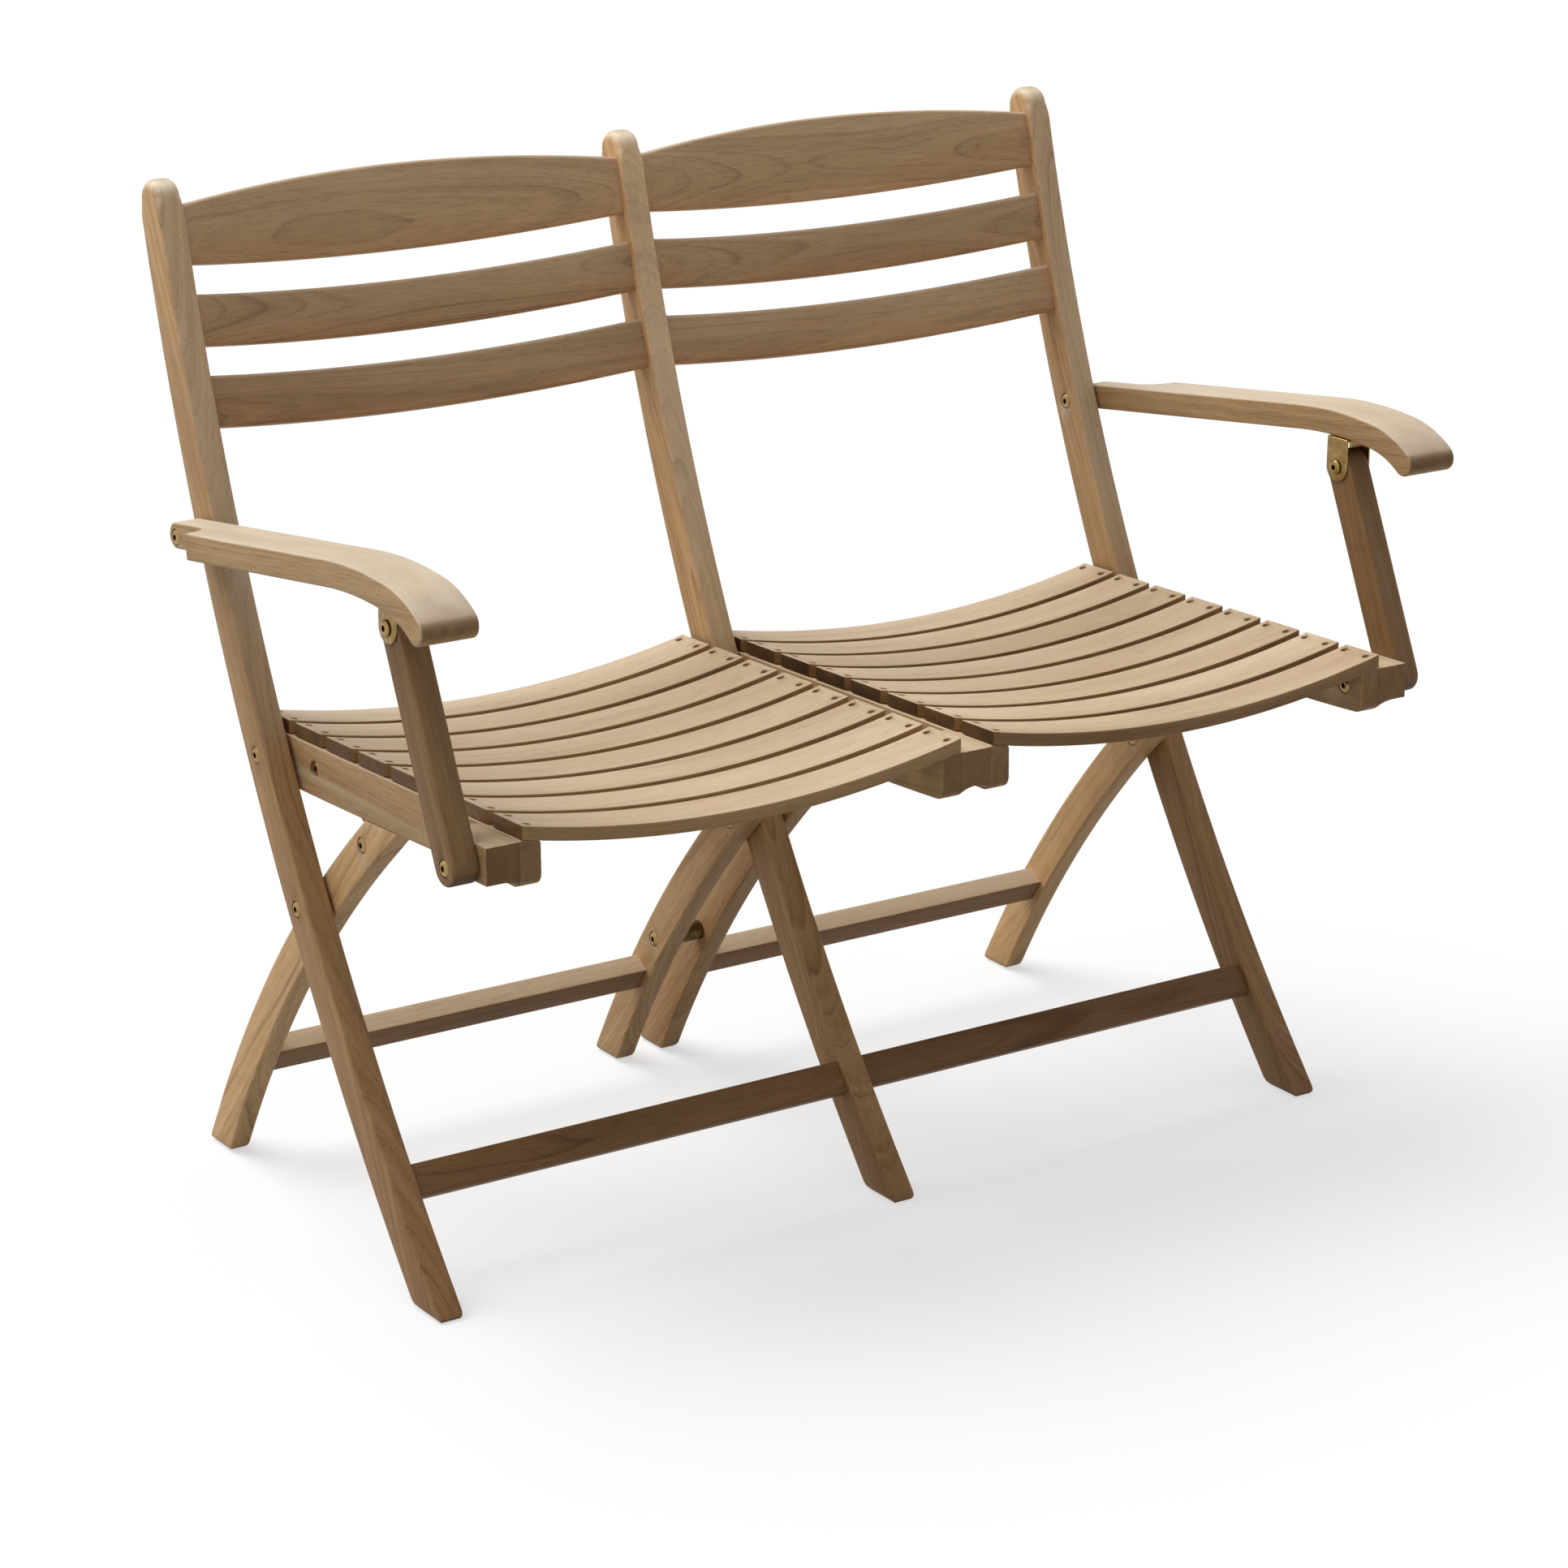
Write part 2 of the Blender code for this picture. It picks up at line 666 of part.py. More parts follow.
def rail_outline(drop):
    """A rail's outline in side view, its top lowered by some drop where the slats dip."""
    rear = -SEAT_BEHIND_PIVOT
    top = RAIL_TOP - drop
    points = [in_seat(rear, top), in_seat(RAIL_FRONT, top)]
    points += [in_seat(ahead, lowest) for ahead, lowest in front_rounding()]
    cove_height = RAIL_DEPTH - RAIL_REAR_LIP
    cove_radius = math.hypot(cove_height, RAIL_COVE_SETBACK)
    cove_middle = rear - RAIL_COVE_SETBACK
    underside_start = RAIL_FRONT - RAIL_FRONT_ROUND
    underside_end = cove_middle + cove_radius
    for step in range(1, RAIL_STEPS):
        ahead = underside_start + (underside_end - underside_start) * step / RAIL_STEPS
        points.append(in_seat(ahead, rail_bottom(ahead)))
    lip_angle = math.atan2(cove_height, RAIL_COVE_SETBACK)
    for step in range(RAIL_STEPS + 1):
        angle = lip_angle * step / RAIL_STEPS
        ahead = cove_middle + cove_radius * math.cos(angle)
        points.append(in_seat(ahead, RAIL_TOP - RAIL_DEPTH + cove_radius * math.sin(angle)))
    return points


def make_rails():
    for name, (plane, way) in BAY_PLANES.items():
        work = bmesh.new()
        inside = plane + way * RAIL_THICKNESS
        add_board(work, (plane, rail_outline(0)), (inside, rail_outline(slat_drop(inside))))
        rail = timber(name + "_rail", work, SEAT_PIVOT, SEAT_COLOUR, RAIL_ARRIS, 1)
        cutters = bmesh.new()
        add_bore(cutters, SEAT_PIVOT, plane, inside, end_sunk=HEAD_SUNK)
        add_bore(cutters, LINK_PIVOT, plane, inside, start_sunk=LINK_HEAD_SUNK)
        if "outer" in name:
            add_bore(cutters, SUPPORT_PIVOT, plane, inside, end_sunk=HEAD_SUNK)
        cut(rail, cutters)


def slat_stations():
    """Places along a slat: its two ends, the rails' inner faces and steps between."""
    start = BAY_INNER + SLAT_SETBACK
    end = BAY_OUTER - SLAT_SETBACK
    inner = BAY_INNER + RAIL_THICKNESS
    outer = BAY_OUTER - RAIL_THICKNESS
    between = [inner + (outer - inner) * step / SLAT_STATIONS for step in range(SLAT_STATIONS + 1)]
    return [start, *between, end]


def make_slats():
    """Dished slats on the rails, numbered from the front."""
    pitch = (SEAT_DEPTH - SLAT_WIDTH) / (SLAT_COUNT - 1)
    front = SEAT_DEPTH - SEAT_BEHIND_PIVOT - SLAT_WIDTH / 2
    rest = RAIL_TOP + GAP + SLAT_THICKNESS / 2
    for side_name, side in SIDES.items():
        for index in range(SLAT_COUNT):
            work = bmesh.new()
            rings = []
            for x in slat_stations():
                centre = in_seat(front - pitch * index, rest - slat_drop(x))
                rings.append(section_ring(
                    side * x, centre, SEAT_FORWARD, SEAT_UP, SLAT_WIDTH / 2, SLAT_THICKNESS / 2, SLAT_ARRIS))
            add_loft(work, rings)
            timber(f"{side_name}_slat_{index + 1}", work, SEAT_PIVOT, SEAT_COLOUR)


def block_ring(x, bottom):
    """A front block's outline at some place along the bench, where its underside is this high."""
    back = RAIL_FRONT - BLOCK_LENGTH
    top = RAIL_TOP - BLOCK_DROP
    points = [in_seat(back, top), in_seat(RAIL_FRONT, top)]
    points += [in_seat(ahead, max(lowest, bottom)) for ahead, lowest in front_rounding()]
    points.append(in_seat(back, bottom))
    return [(x, point.x, point.y) for point in points]


def cove_steps(width):
    """A cove's steps from the rail's underside up to the block's own, as (distance, height) pairs."""
    low = rail_bottom(RAIL_FRONT)
    rise = RAIL_TOP - BLOCK_DROP - BLOCK_DEPTH - low
    steps = []
    for step in range(QUARTER_STEPS + 1):
        angle = math.pi / 2 * step / QUARTER_STEPS
        steps.append((width * (1 - math.cos(angle)), low + rise * math.sin(angle)))
    return steps


def make_blocks():
    """The blocks at the seat's front; each outer one holds the bolt through rail and support."""
    for side_name, side in SIDES.items():
        work = bmesh.new()
        places = [(BAY_OUTER + GAP + distance, bottom) for distance, bottom in cove_steps(BLOCK_COVE_WIDTH)]
        places.append((SUPPORT_INNER - GAP, places[-1][1]))
        add_loft(work, [block_ring(side * x, bottom) for x, bottom in places])
        block = timber(side_name + "_front_block", work, SEAT_PIVOT, SEAT_COLOUR)
        bolt = bmesh.new()
        add_bolt(bolt, SUPPORT_PIVOT, side * (BAY_OUTER - RAIL_THICKNESS), side * SUPPORT_OUTER)
        fuse(block, bolt)
    half = BAY_INNER - GAP
    arch = [(distance - half, bottom) for distance, bottom in cove_steps(half)]
    arch += [(-x, bottom) for x, bottom in reversed(arch[:-1])]
    work = bmesh.new()
    add_loft(work, [block_ring(x, bottom) for x, bottom in arch])
    timber("middle_front_block", work, SEAT_PIVOT, SEAT_COLOUR)


# Rear legs

def leg_outline():
    """A leg from its flat foot to the slanting top under the rail, one band of an arc."""
    half = LEG_WIDTH / 2
    edges = []
    for radius in (LEG_ARC_RADIUS - half, LEG_ARC_RADIUS + half):
        floor = angle_at_height(LEG_CENTRE, radius, 0)
        top = angle_of(first_crossing(LEG_CENTRE, radius, *leg_top_line()) - LEG_CENTRE)
        edges.append(arc_points(LEG_CENTRE, radius, floor, top, LEG_STEPS))
    return edges[0] + edges[1][::-1]


def make_legs():
    top_edge = LEG_STEPS
    floor_edge = -1
    place = rear_stretcher_place()
    for name, (plane, way) in BAY_PLANES.items():
        work = bmesh.new()
        inside = plane + way * LEG_THICKNESS
        outline = leg_outline()
        add_board(work, (plane, outline), (inside, outline), (top_edge, floor_edge))
        leg = timber(name + "_leg", work, LEG_PIVOT, LEG_COLOUR, LEG_ARRIS)
        cutters = bmesh.new()
        add_bore(cutters, LEG_PIVOT, plane, inside, end_sunk=HEAD_SUNK)
        if "inner" in name:
            add_bore(cutters, TIE_BOLT, plane, inside, end_sunk=HEAD_SUNK)
        add_mortise(cutters, inside, -way, place)
        cut(leg, cutters)
        bolt = bmesh.new()
        add_stud_bolt(bolt, LEG_BOLT, plane, inside)
        fuse(leg, bolt)


def make_rear_stretchers():
    place = rear_stretcher_place()
    start = BAY_INNER + LEG_THICKNESS + GAP
    end = BAY_OUTER - LEG_THICKNESS - GAP
    for side_name, side in SIDES.items():
        work = straight_board(side * start, side * end, place)
        timber(side_name + "_rear_stretcher", work, LEG_PIVOT, LEG_COLOUR)


def make_leg_tie():
    """The bolt that joins the two middle legs behind the middle post, with its spacer as a collar."""
    work = bmesh.new()
    reach = BAY_INNER + LEG_THICKNESS
    spacer = (GAP - BAY_INNER, BAY_INNER - GAP, TIE_SPACER_RADIUS)
    add_bolt(work, TIE_BOLT, -reach, reach, collars=[spacer])
    brass("leg_tie_bolt", work, LEG_PIVOT)


# Links

def make_links():
    """Flat bars on the inner faces of rail and leg, each with the bolt on which it turns in the rail."""
    outline = stadium(LINK_PIVOT, LEG_BOLT, LINK_WIDTH / 2)
    for name, (plane, way) in BAY_PLANES.items():
        work = bmesh.new()
        near = plane + way * LINK_FACE
        far = near + way * LINK_THICKNESS
        add_board(work, (near, outline), (far, outline))
        link = brass(name + "_link", work, LINK_PIVOT)
        hole = bmesh.new()
        add_bore(hole, LEG_BOLT, near, far)
        cut(link, hole)
        bolt = bmesh.new()
        add_bolt(bolt, LINK_PIVOT, plane, far, sunk=(LINK_HEAD_SUNK, 0))
        fuse(link, bolt)


# Arms

def arm_place(length):
    """Point of the arm's centre line at this length from the arm pivot, and its slope there."""
    slope = ARM_RISE
    point = ARM_PIVOT + Vector((math.sin(slope), math.cos(slope))) * ARM_ABOVE_PIVOT
    bends = ((ARM_STRAIGHT, 0), (ARM_BEND_LENGTH, 1 / ARM_BEND_RADIUS), (math.inf, 1 / ARM_NOSE_RADIUS))
    for stretch, curvature in bends:
        run = min(length, stretch)
        half_turn = run * curvature / 2
        chord = run * math.sin(half_turn) / half_turn if half_turn else run
        heading = slope - half_turn
        point = point + Vector((-math.cos(heading), math.sin(heading))) * chord
        slope -= 2 * half_turn
        length -= run
    return point, slope


def arm_stations():
    """The arm's sections from tongue to nose, as length, run past it, half thickness and width."""
    half = ARM_THICKNESS / 2
    cove = ARM_WIDTH - ARM_TONGUE_WIDTH
    quarters = [math.pi / 2 * step / QUARTER_STEPS for step in range(QUARTER_STEPS + 1)]
    round_end = [math.pi / 2 * (step + FIRST_ROUND_STEP) / QUARTER_STEPS for step in reversed(range(QUARTER_STEPS))]
    stations = []
    for angle in round_end:
        stations.append((0, -half * math.sin(angle), half * math.cos(angle), ARM_TONGUE_WIDTH))
    for angle in quarters:
        length = ARM_SHOULDER_AHEAD + cove * math.sin(angle)
        stations.append((length, 0, half, ARM_WIDTH - cove * math.cos(angle)))
    for step in range(BEND_STEPS + 1):
        stations.append((ARM_STRAIGHT + ARM_BEND_LENGTH * step / BEND_STEPS, 0, half, ARM_WIDTH))
    nose_start = ARM_STRAIGHT + ARM_BEND_LENGTH
    for step in range(1, BEND_STEPS + 1):
        stations.append((nose_start + ARM_NOSE_LENGTH * step / BEND_STEPS, 0, half, ARM_WIDTH))
    for angle in reversed(round_end):
        end = nose_start + ARM_NOSE_LENGTH
        stations.append((end, half * math.sin(angle), half * math.cos(angle), ARM_WIDTH))
    return stations


def arm_ring(side, length, past, half, width):
    """A cut-cornered section across the arm."""
    point, slope = arm_place(length)
    forward = Vector((-math.cos(slope), math.sin(slope)))
    upward = Vector((math.sin(slope), math.cos(slope)))
    centre = point + forward * past
    arris = min(ARM_ARRIS, half * 0.6)
    corners = [(0, half - arris), (arris, half), (width - arris, half), (width, half - arris)]
    ring = []
    for across, above in corners + [(across, -above) for across, above in reversed(corners)]:
        corner = centre + upward * above
        ring.append((side * (ARM_INNER + across), corner.x, corner.y))
    return ring


def make_arms():
    for side_name, side in SIDES.items():
        work = bmesh.new()
        add_loft(work, [arm_ring(side, *station) for station in arm_stations()])
        arm = timber(side_name + "_arm", work, ARM_PIVOT, ARM_COLOUR)
        cutters = bmesh.new()
        inner = side * ARM_INNER
        outer = side * (ARM_INNER + ARM_TONGUE_WIDTH)
        add_bore(cutters, ARM_PIVOT, inner, outer, end_sunk=HEAD_SUNK)
        cut(arm, cutters)


def bracket_frame():
    """The bracket's forward and upward ways, square to the arm over its pivot, and its height."""
    length = (ARM_PIVOT - BRACKET_PIVOT).x / math.cos(ARM_RISE)
    point, slope = arm_place(length)
    forward = Vector((-math.cos(slope), math.sin(slope)))
    upward = Vector((math.sin(slope), math.cos(slope)))
    bend_sag = (BRACKET_WIDTH / 2) ** 2 / 2 / ARM_BEND_RADIUS
    height = (point - BRACKET_PIVOT).dot(upward) - ARM_THICKNESS / 2 - bend_sag - GAP
    return forward, upward, height


def make_brackets():
    """Brass U pieces under the arms, a cheek on each side of the support, with the bolt through both."""
    half = BRACKET_WIDTH / 2
    forward, upward, height = bracket_frame()
    angle = angle_of(forward)
    outline = arc_points(BRACKET_PIVOT, half, angle, angle + math.pi, ROUND_END_STEPS)
    outline += [BRACKET_PIVOT - forward * half + upward * height, BRACKET_PIVOT + forward * half + upward * height]
    slot_half = half + CUTTER_REACH
    slot_corners = [(slot_half, -slot_half), (-slot_half, -slot_half)]
    slot_corners += [(-slot_half, height - BRACKET_PLATE), (slot_half, height - BRACKET_PLATE)]
    slot = [BRACKET_PIVOT + forward * ahead + upward * above for ahead, above in slot_corners]
    for side_name, side in SIDES.items():
        work = bmesh.new()
        add_board(work, (side * BRACKET_INNER, outline), (side * BRACKET_OUTER, outline))
        bracket = brass(side_name + "_bracket", work, ARM_PIVOT)
        slot_work = bmesh.new()
        inner = side * (BRACKET_INNER + BRACKET_PLATE)
        outer = side * (BRACKET_OUTER - BRACKET_PLATE)
        add_board(slot_work, (inner, slot), (outer, slot))
        cut(bracket, slot_work)
        bolt = bmesh.new()
        add_bolt(bolt, BRACKET_PIVOT, side * BRACKET_INNER, side * BRACKET_OUTER, sunk=(0, 0))
        fuse(bracket, bolt)


# Arm supports

def make_supports():
    outline = stadium(SUPPORT_PIVOT, BRACKET_PIVOT, SUPPORT_WIDTH / 2)
    for side_name, side in SIDES.items():
        work = bmesh.new()
        inner = side * SUPPORT_INNER
        outer = side * SUPPORT_OUTER
        add_board(work, (inner, outline), (outer, outline))
        support = timber(side_name + "_support", work, SUPPORT_PIVOT, ARM_COLOUR, SUPPORT_ARRIS)
        cutters = bmesh.new()
        add_bore(cutters, SUPPORT_PIVOT, inner, outer, end_sunk=HEAD_SUNK)
        add_bore(cutters, BRACKET_PIVOT, inner, outer)
        cut(support, cutters)


def clear_scene():
    for thing in list(bpy.data.objects):
        bpy.data.objects.remove(thing)


def main():
    clear_scene()
    make_post("left_post", -POST_SPACING, -1)
    make_post("middle_post", 0, 0)
    make_post("right_post", POST_SPACING, 1)
    make_front_stretchers()
    make_back_slats()
    make_pivot_bolts("seat", SEAT_PIVOT, RAIL_THICKNESS)
    make_pivot_bolts("leg", LEG_PIVOT, LEG_THICKNESS)
    make_arm_pivot_bolts()
    make_rails()
    make_slats()
    make_blocks()
    make_legs()
    make_rear_stretchers()
    make_leg_tie()
    make_links()
    make_arms()
    make_brackets()
    make_supports()


if __name__ == "__main__":
    main()
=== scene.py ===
"""Folding two-seat garden bench: the finished look of its hardwood and brass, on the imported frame.

Metres, +Z up, front towards -Y, floor at z = 0. X runs along the bench. Points of the side view are
(y, z) pairs. Each wooden piece is made again with smooth curves and round arrises from the sizes that
its solid has, and carries its own grain; bolts, washers, links and brackets are turned and bent brass.
"""
import math
import random
from collections import namedtuple

import bmesh
import bpy
from bpy.props import FloatProperty, FloatVectorProperty, PointerProperty
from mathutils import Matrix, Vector


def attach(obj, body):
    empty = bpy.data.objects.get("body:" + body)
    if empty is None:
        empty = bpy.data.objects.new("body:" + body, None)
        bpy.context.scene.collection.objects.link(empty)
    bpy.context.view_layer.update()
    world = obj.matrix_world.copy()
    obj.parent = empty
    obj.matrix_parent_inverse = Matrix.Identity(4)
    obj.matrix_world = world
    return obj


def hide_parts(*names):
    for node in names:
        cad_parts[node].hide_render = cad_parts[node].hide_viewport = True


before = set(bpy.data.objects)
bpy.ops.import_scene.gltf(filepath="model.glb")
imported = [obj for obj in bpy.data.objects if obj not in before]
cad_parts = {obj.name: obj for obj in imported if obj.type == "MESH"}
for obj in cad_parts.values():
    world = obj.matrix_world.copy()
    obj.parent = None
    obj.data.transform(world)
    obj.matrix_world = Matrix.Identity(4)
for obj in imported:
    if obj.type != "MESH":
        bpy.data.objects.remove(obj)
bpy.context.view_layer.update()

bl_info = {
    "name": "Folding two-seat garden bench",
    "version": (1, 0, 0),
    "blender": (4, 5, 0),
    "location": "View3D > Sidebar > Bench",
    "description": "Makes a slatted folding bench in oiled hardwood with brass pivots",
    "category": "Add Mesh",
}

# Clearances, how far a board reaches into its shoulders, and how far a cutter stands out of a face
GAP = 0.0003
PIVOT_GAP = 0.003
SHOULDER_REACH = 0.0003
CUTTER_REACH = 0.004

# Posts
HEIGHT = 0.890
POST_SPACING = 0.4693
POST_THICKNESS = 0.025
POST_DEPTH = 0.035
POST_ARC_RADIUS = 2.174
POST_FOOT_Y = -0.1853
POST_TOP_Y = 0.2790
POST_CROWN = 0.016
POST_CROWN_ARRIS = 0.008
POST_GRAIN_HEIGHTS = (0.02, 0.86)

# Pivots on the posts' centre line
SEAT_PIVOT_HEIGHT = 0.419
LEG_PIVOT_HEIGHT = 0.2985
ARM_PIVOT_BELOW_TOP = 0.292

# Front stretchers
FRONT_STRETCHER_HEIGHT = 0.0927
FRONT_STRETCHER_WIDTH = 0.030
FRONT_STRETCHER_THICKNESS = 0.012
FRONT_STRETCHER_SETBACK = 0.0045

# Back slats
BACK_TOP_DROP = 0.0235
BACK_TOP_SLAT_WIDTH = 0.052
BACK_SLAT_WIDTH = 0.045
BACK_SLAT_SPACE = 0.026
BACK_SLAT_THICKNESS = 0.017
BACK_SLAT_SETBACK = 0.0055
BACK_TOP_ARCH = 0.017
BACK_SAG = 0.008
BACK_BOW = 0.012

# Seat, measured along its own slope from the seat pivot
SEAT_RISE = math.radians(2.22)
SEAT_DEPTH = 0.4298
SEAT_BEHIND_PIVOT = 0.0372
SLAT_COUNT = 8
SLAT_WIDTH = 0.0452
SLAT_THICKNESS = 0.012
SLAT_DISH = 0.0235
SLAT_SETBACK = 0.0015
RAIL_THICKNESS = 0.020
RAIL_TOP = 0.0162
RAIL_DEPTH = 0.0463
RAIL_FRONT_TAPER = 0.0053
RAIL_FRONT_SETBACK = 0.0011
RAIL_FRONT_ROUND = 0.010
RAIL_REAR_LIP = 0.007
RAIL_COVE_SETBACK = 0.004
BLOCK_LENGTH = 0.065
BLOCK_DROP = 0.0012
BLOCK_DEPTH = 0.0317
BLOCK_COVE_WIDTH = 0.0172

# Rear legs
LEG_THICKNESS = 0.020
LEG_WIDTH = 0.0355
LEG_ARC_RADIUS = 1.2559
LEG_FOOT_Y = 0.2391
LEG_LINE_BEHIND_PIVOT = 0.002
LEG_BOLT_BELOW_TOP = 0.0415
LEG_BOLT_OFF_CENTRE = 0.0034
LEG_FIRST_SECTION = 0.022
LEG_LAST_SECTION = 0.024
REAR_STRETCHER_HEIGHT = 0.105
REAR_STRETCHER_WIDTH = 0.026
REAR_STRETCHER_THICKNESS = 0.021
TIE_HEIGHT = 0.1454
TIE_SPACER_RADIUS = 0.009

# Links
LINK_AHEAD_OF_PIVOT = 0.053
LINK_BELOW_PIVOT = 0.0046
LINK_WIDTH = 0.018
LINK_THICKNESS = 0.003
LINK_ARRIS = 0.0004

# Arms, measured along their own length from the arm pivot
ARM_WIDTH = 0.0527
ARM_TONGUE_WIDTH = 0.0257
ARM_THICKNESS = 0.0232
ARM_RISE = math.radians(8.25)
ARM_ABOVE_PIVOT = 0.0015
ARM_SHOULDER_AHEAD = 0.0453
ARM_BEND_BEHIND_SUPPORT = 0.0541
ARM_BEND_RADIUS = 0.42
ARM_BEND_LENGTH = 0.100
ARM_NOSE_RADIUS = 0.095
ARM_NOSE_LENGTH = 0.048
ARM_TONGUE_SECTIONS = (0, 0.020, 0.0413)

# Arm supports and their brackets
SUPPORT_BEHIND_FRONT = 0.0244
SUPPORT_BELOW_PIVOT = 0.0032
SUPPORT_THICKNESS = 0.0247
SUPPORT_WIDTH = 0.031
SUPPORT_STANDOFF = 0.001
BRACKET_WIDTH = 0.027
BRACKET_PLATE = 0.002
BRACKET_ARRIS = 0.0012
BRACKET_INNER_ARRIS = 0.0006
BRACKET_SLOT_REACH = 0.006

# Bolts
SHANK_RADIUS = 0.003
HEAD_SUNK = 0.0018
HEAD_CLEARANCE = 0.0006
LINK_HEAD_SUNK = 0.004
HEAD_RIM = 0.0009
HEAD_DOME = 0.0018
HEAD_EASE = 0.0003
DOME_FULLNESS = 1.15
COLLAR_EASE = 0.0003
SOCKET_DEPTH = 0.0018
SOCKET_LIP = 1.22

# Slat screws
SCREW_SPREAD = 0.0287
SCREW_FROM_END = 0.0095
SCREW_SUNK = 0.0012
SCREW_CLEARANCE = 0.0006
SCREW_LENGTH = 0.0039
SCREW_HEAD = 0.0008
SCREW_EASE = 0.0002
SCREW_POINT = 0.6
SCREW_TAPER = 0.9
SCREW_SOCKET_RADIUS = 0.0012
SCREW_SOCKET_DEPTH = 0.0014

# Sides of the round parts
HEAD_SIDES = 48
COLLAR_SIDES = 40
SHANK_SIDES = 24
SCREW_SIDES = 24
SCREW_HOLE_SIDES = 28

# How dull the brass is, from nothing to one
BRASS_DULLNESS = 0.3
BRACKET_DULLNESS = 0.25
SPACER_DULLNESS = 0.75
SCREW_DULLNESS = 0.75
RIM_DULLNESS = 0.8
DOME_DULLNESS = 0.25
LIP_DULLNESS = 0.5

# Steps along the curves
POST_STEPS = 52
CROWN_STEPS = 10
BACK_STEPS = 40
SLAT_STEPS = 44
LEG_STEPS = 40
RAIL_STEPS = 16
RAIL_COVE_STEPS = 14
COVE_STEPS = 12
ARM_STRAIGHT_STEPS = 8
ARM_STEPS = 14
ARM_NOSE_STEPS = 12
SUPPORT_STEPS = 6
BRACKET_STEPS = 24
DOME_STEPS = 7

# Tones, which make a piece lighter than its timber, or darker below nothing; those marked below are painted
# light and shade
POST_TONES = {"left": 0.0, "middle": 0.12, "right": 0.0}
# Painted shade all over the front stretchers, which stand under the seat
FRONT_STRETCHER_SHADES = {"left": -0.57, "right": -0.67}
# Painted shade on the rear stretchers' front and lower faces, kept mostly off their tops
REAR_STRETCHER_SHADE = -0.55
BACK_TONES = {"top": 0.0, "middle": -0.13, "bottom": -0.26}
BACK_TONE_BY_SIDE = 0.03
RAIL_TONE = -0.04
# Painted shade on the slats' edges, gaps and undersides, kept mostly off their tops
SLAT_SHADES = {"left": -0.26, "right": -0.44}
# Painted shade on the blocks' front and lower faces, under the front of the seat
BLOCK_SHADE = -0.15
# Painted light on the outer legs, and painted shade on the inner legs under the seat
LEG_LIGHT_AND_SHADE = {"outer": 0.20, "inner": -0.10}
ARM_TONES = {"left": 0.10, "right": -0.06}
# Painted shade all over the supports, which stand under the arms
SUPPORT_SHADE = -0.54
TONE_SPREAD = 0.06

# How much of the slats' dish their grain follows
GRAIN_DISH = 0.85

# The share of a tone that is lost on upward faces, where sheen is painted, so that painted shade stays
# mostly off the tops
TONE_LOST_ON_TOPS = 0.85

# How much lighter the posts are painted with each metre, as painted light up high and painted shade low
# down, and the height at which they have their own tone
POST_LIGHT_BY_HEIGHT = 0.85
POST_LIGHT_LEVEL = 0.55

# The height from which the posts' upward faces get painted sheen, clear of the seat's shade, and how far
# under it that painted sheen ends
POST_COVER_HEIGHT = 0.56
COVER_EDGE = 0.16

# How far the rings wander, ripple and are ragged, each with its noise's scales along and across the grain
RING_DRIFTS = (((1.9, 8, 8), 0.009), ((6, 24, 24), 0.003), ((40, 500, 500), 0.00012))

# How square to the grain a face starts and ends to look like end grain, and how level it must be for
# painted sheen
END_GRAIN = (0.55, 0.95)
LEVEL_ENOUGH = (0.1, 0.8)

# Where the heart of a piece's log may lie: along it, to each side, and its least and greatest depth
LOG_LENGTH = 40
HEART_ASIDE = 0.02
HEART_DEPTHS = (0.018, 0.055)

# Floor, world and lamp
WHITE = (1, 1, 1, 1)
FLOOR_SIZE = 16
FLOOR_DROP = 0.0002
FLOOR_GREY = 0.30
FLOOR_SEEN_GREY = 0.42
FLOOR_GLOW = 0.59
WORLD_FILL = 0.35
KEY_WAY = (-0.38, 0.50, 1.0)
KEY_WIDTH = math.radians(50)
KEY_STRENGTH = 2.5

# Camera, as solved from the photograph's perspective, for a square picture
CAMERA_PLACE = (-2.26633, -3.26702, 1.65247)
CAMERA_YAW = math.radians(-34.791)
CAMERA_PITCH = math.radians(18.310)
CAMERA_ROLL = math.radians(0.924)
FOCAL_PIXELS = 5692
PICTURE_PIXELS = 1932
SENSOR = 36.0
CAMERA_REACH = (0.1, 60)

QUARTER = math.pi / 2
SIXTH = math.pi / 3
UP = Vector((0, 0, 1))
ALONG_BENCH = Vector((1, 0, 0))
SIDE_VIEW = (Vector((0, 1, 0)), UP)
SIDES = {"left": -1, "right": 1}


def length_property(label, text, default):
    return FloatProperty(name=label, description=text, default=default, unit="LENGTH")


def colour_property(label, text, default):
    return FloatVectorProperty(
        name=label, description=text, subtype="COLOR", size=3, min=0, max=1, default=default)


class BenchSizes(bpy.types.PropertyGroup):
    """Sizes of the rounding and of the small brass parts."""

    post_arris: length_property("Post arris", "Radius of the posts' long edges", 0.0025)
    leg_arris: length_property("Leg arris", "Radius of the rear legs' long edges", 0.0025)
    arm_arris: length_property("Arm arris", "Radius of the arms' edges", 0.0018)
    support_arris: length_property("Support arris", "Radius of the arm supports' edges", 0.0025)
    slat_arris: length_property("Slat arris", "Radius of the seat slats' edges", 0.0009)
    back_arris: length_property("Back slat arris", "Radius of the back slats' edges", 0.0034)
    rail_arris: length_property("Rail arris", "Radius of the rails' edges", 0.0022)
    stretcher_arris: length_property("Stretcher arris", "Radius of the stretchers' edges", 0.0014)
    head_radius: length_property("Bolt head radius", "Radius of the domed brass heads", 0.007)
    socket_width: length_property("Socket width", "Hexagon socket, across its flats", 0.0045)
    washer_radius: length_property("Washer radius", "Radius of the washers in the pivots", 0.009)
    screw_radius: length_property("Screw hole radius", "Radius of the slat screws' sunk holes", 0.0032)


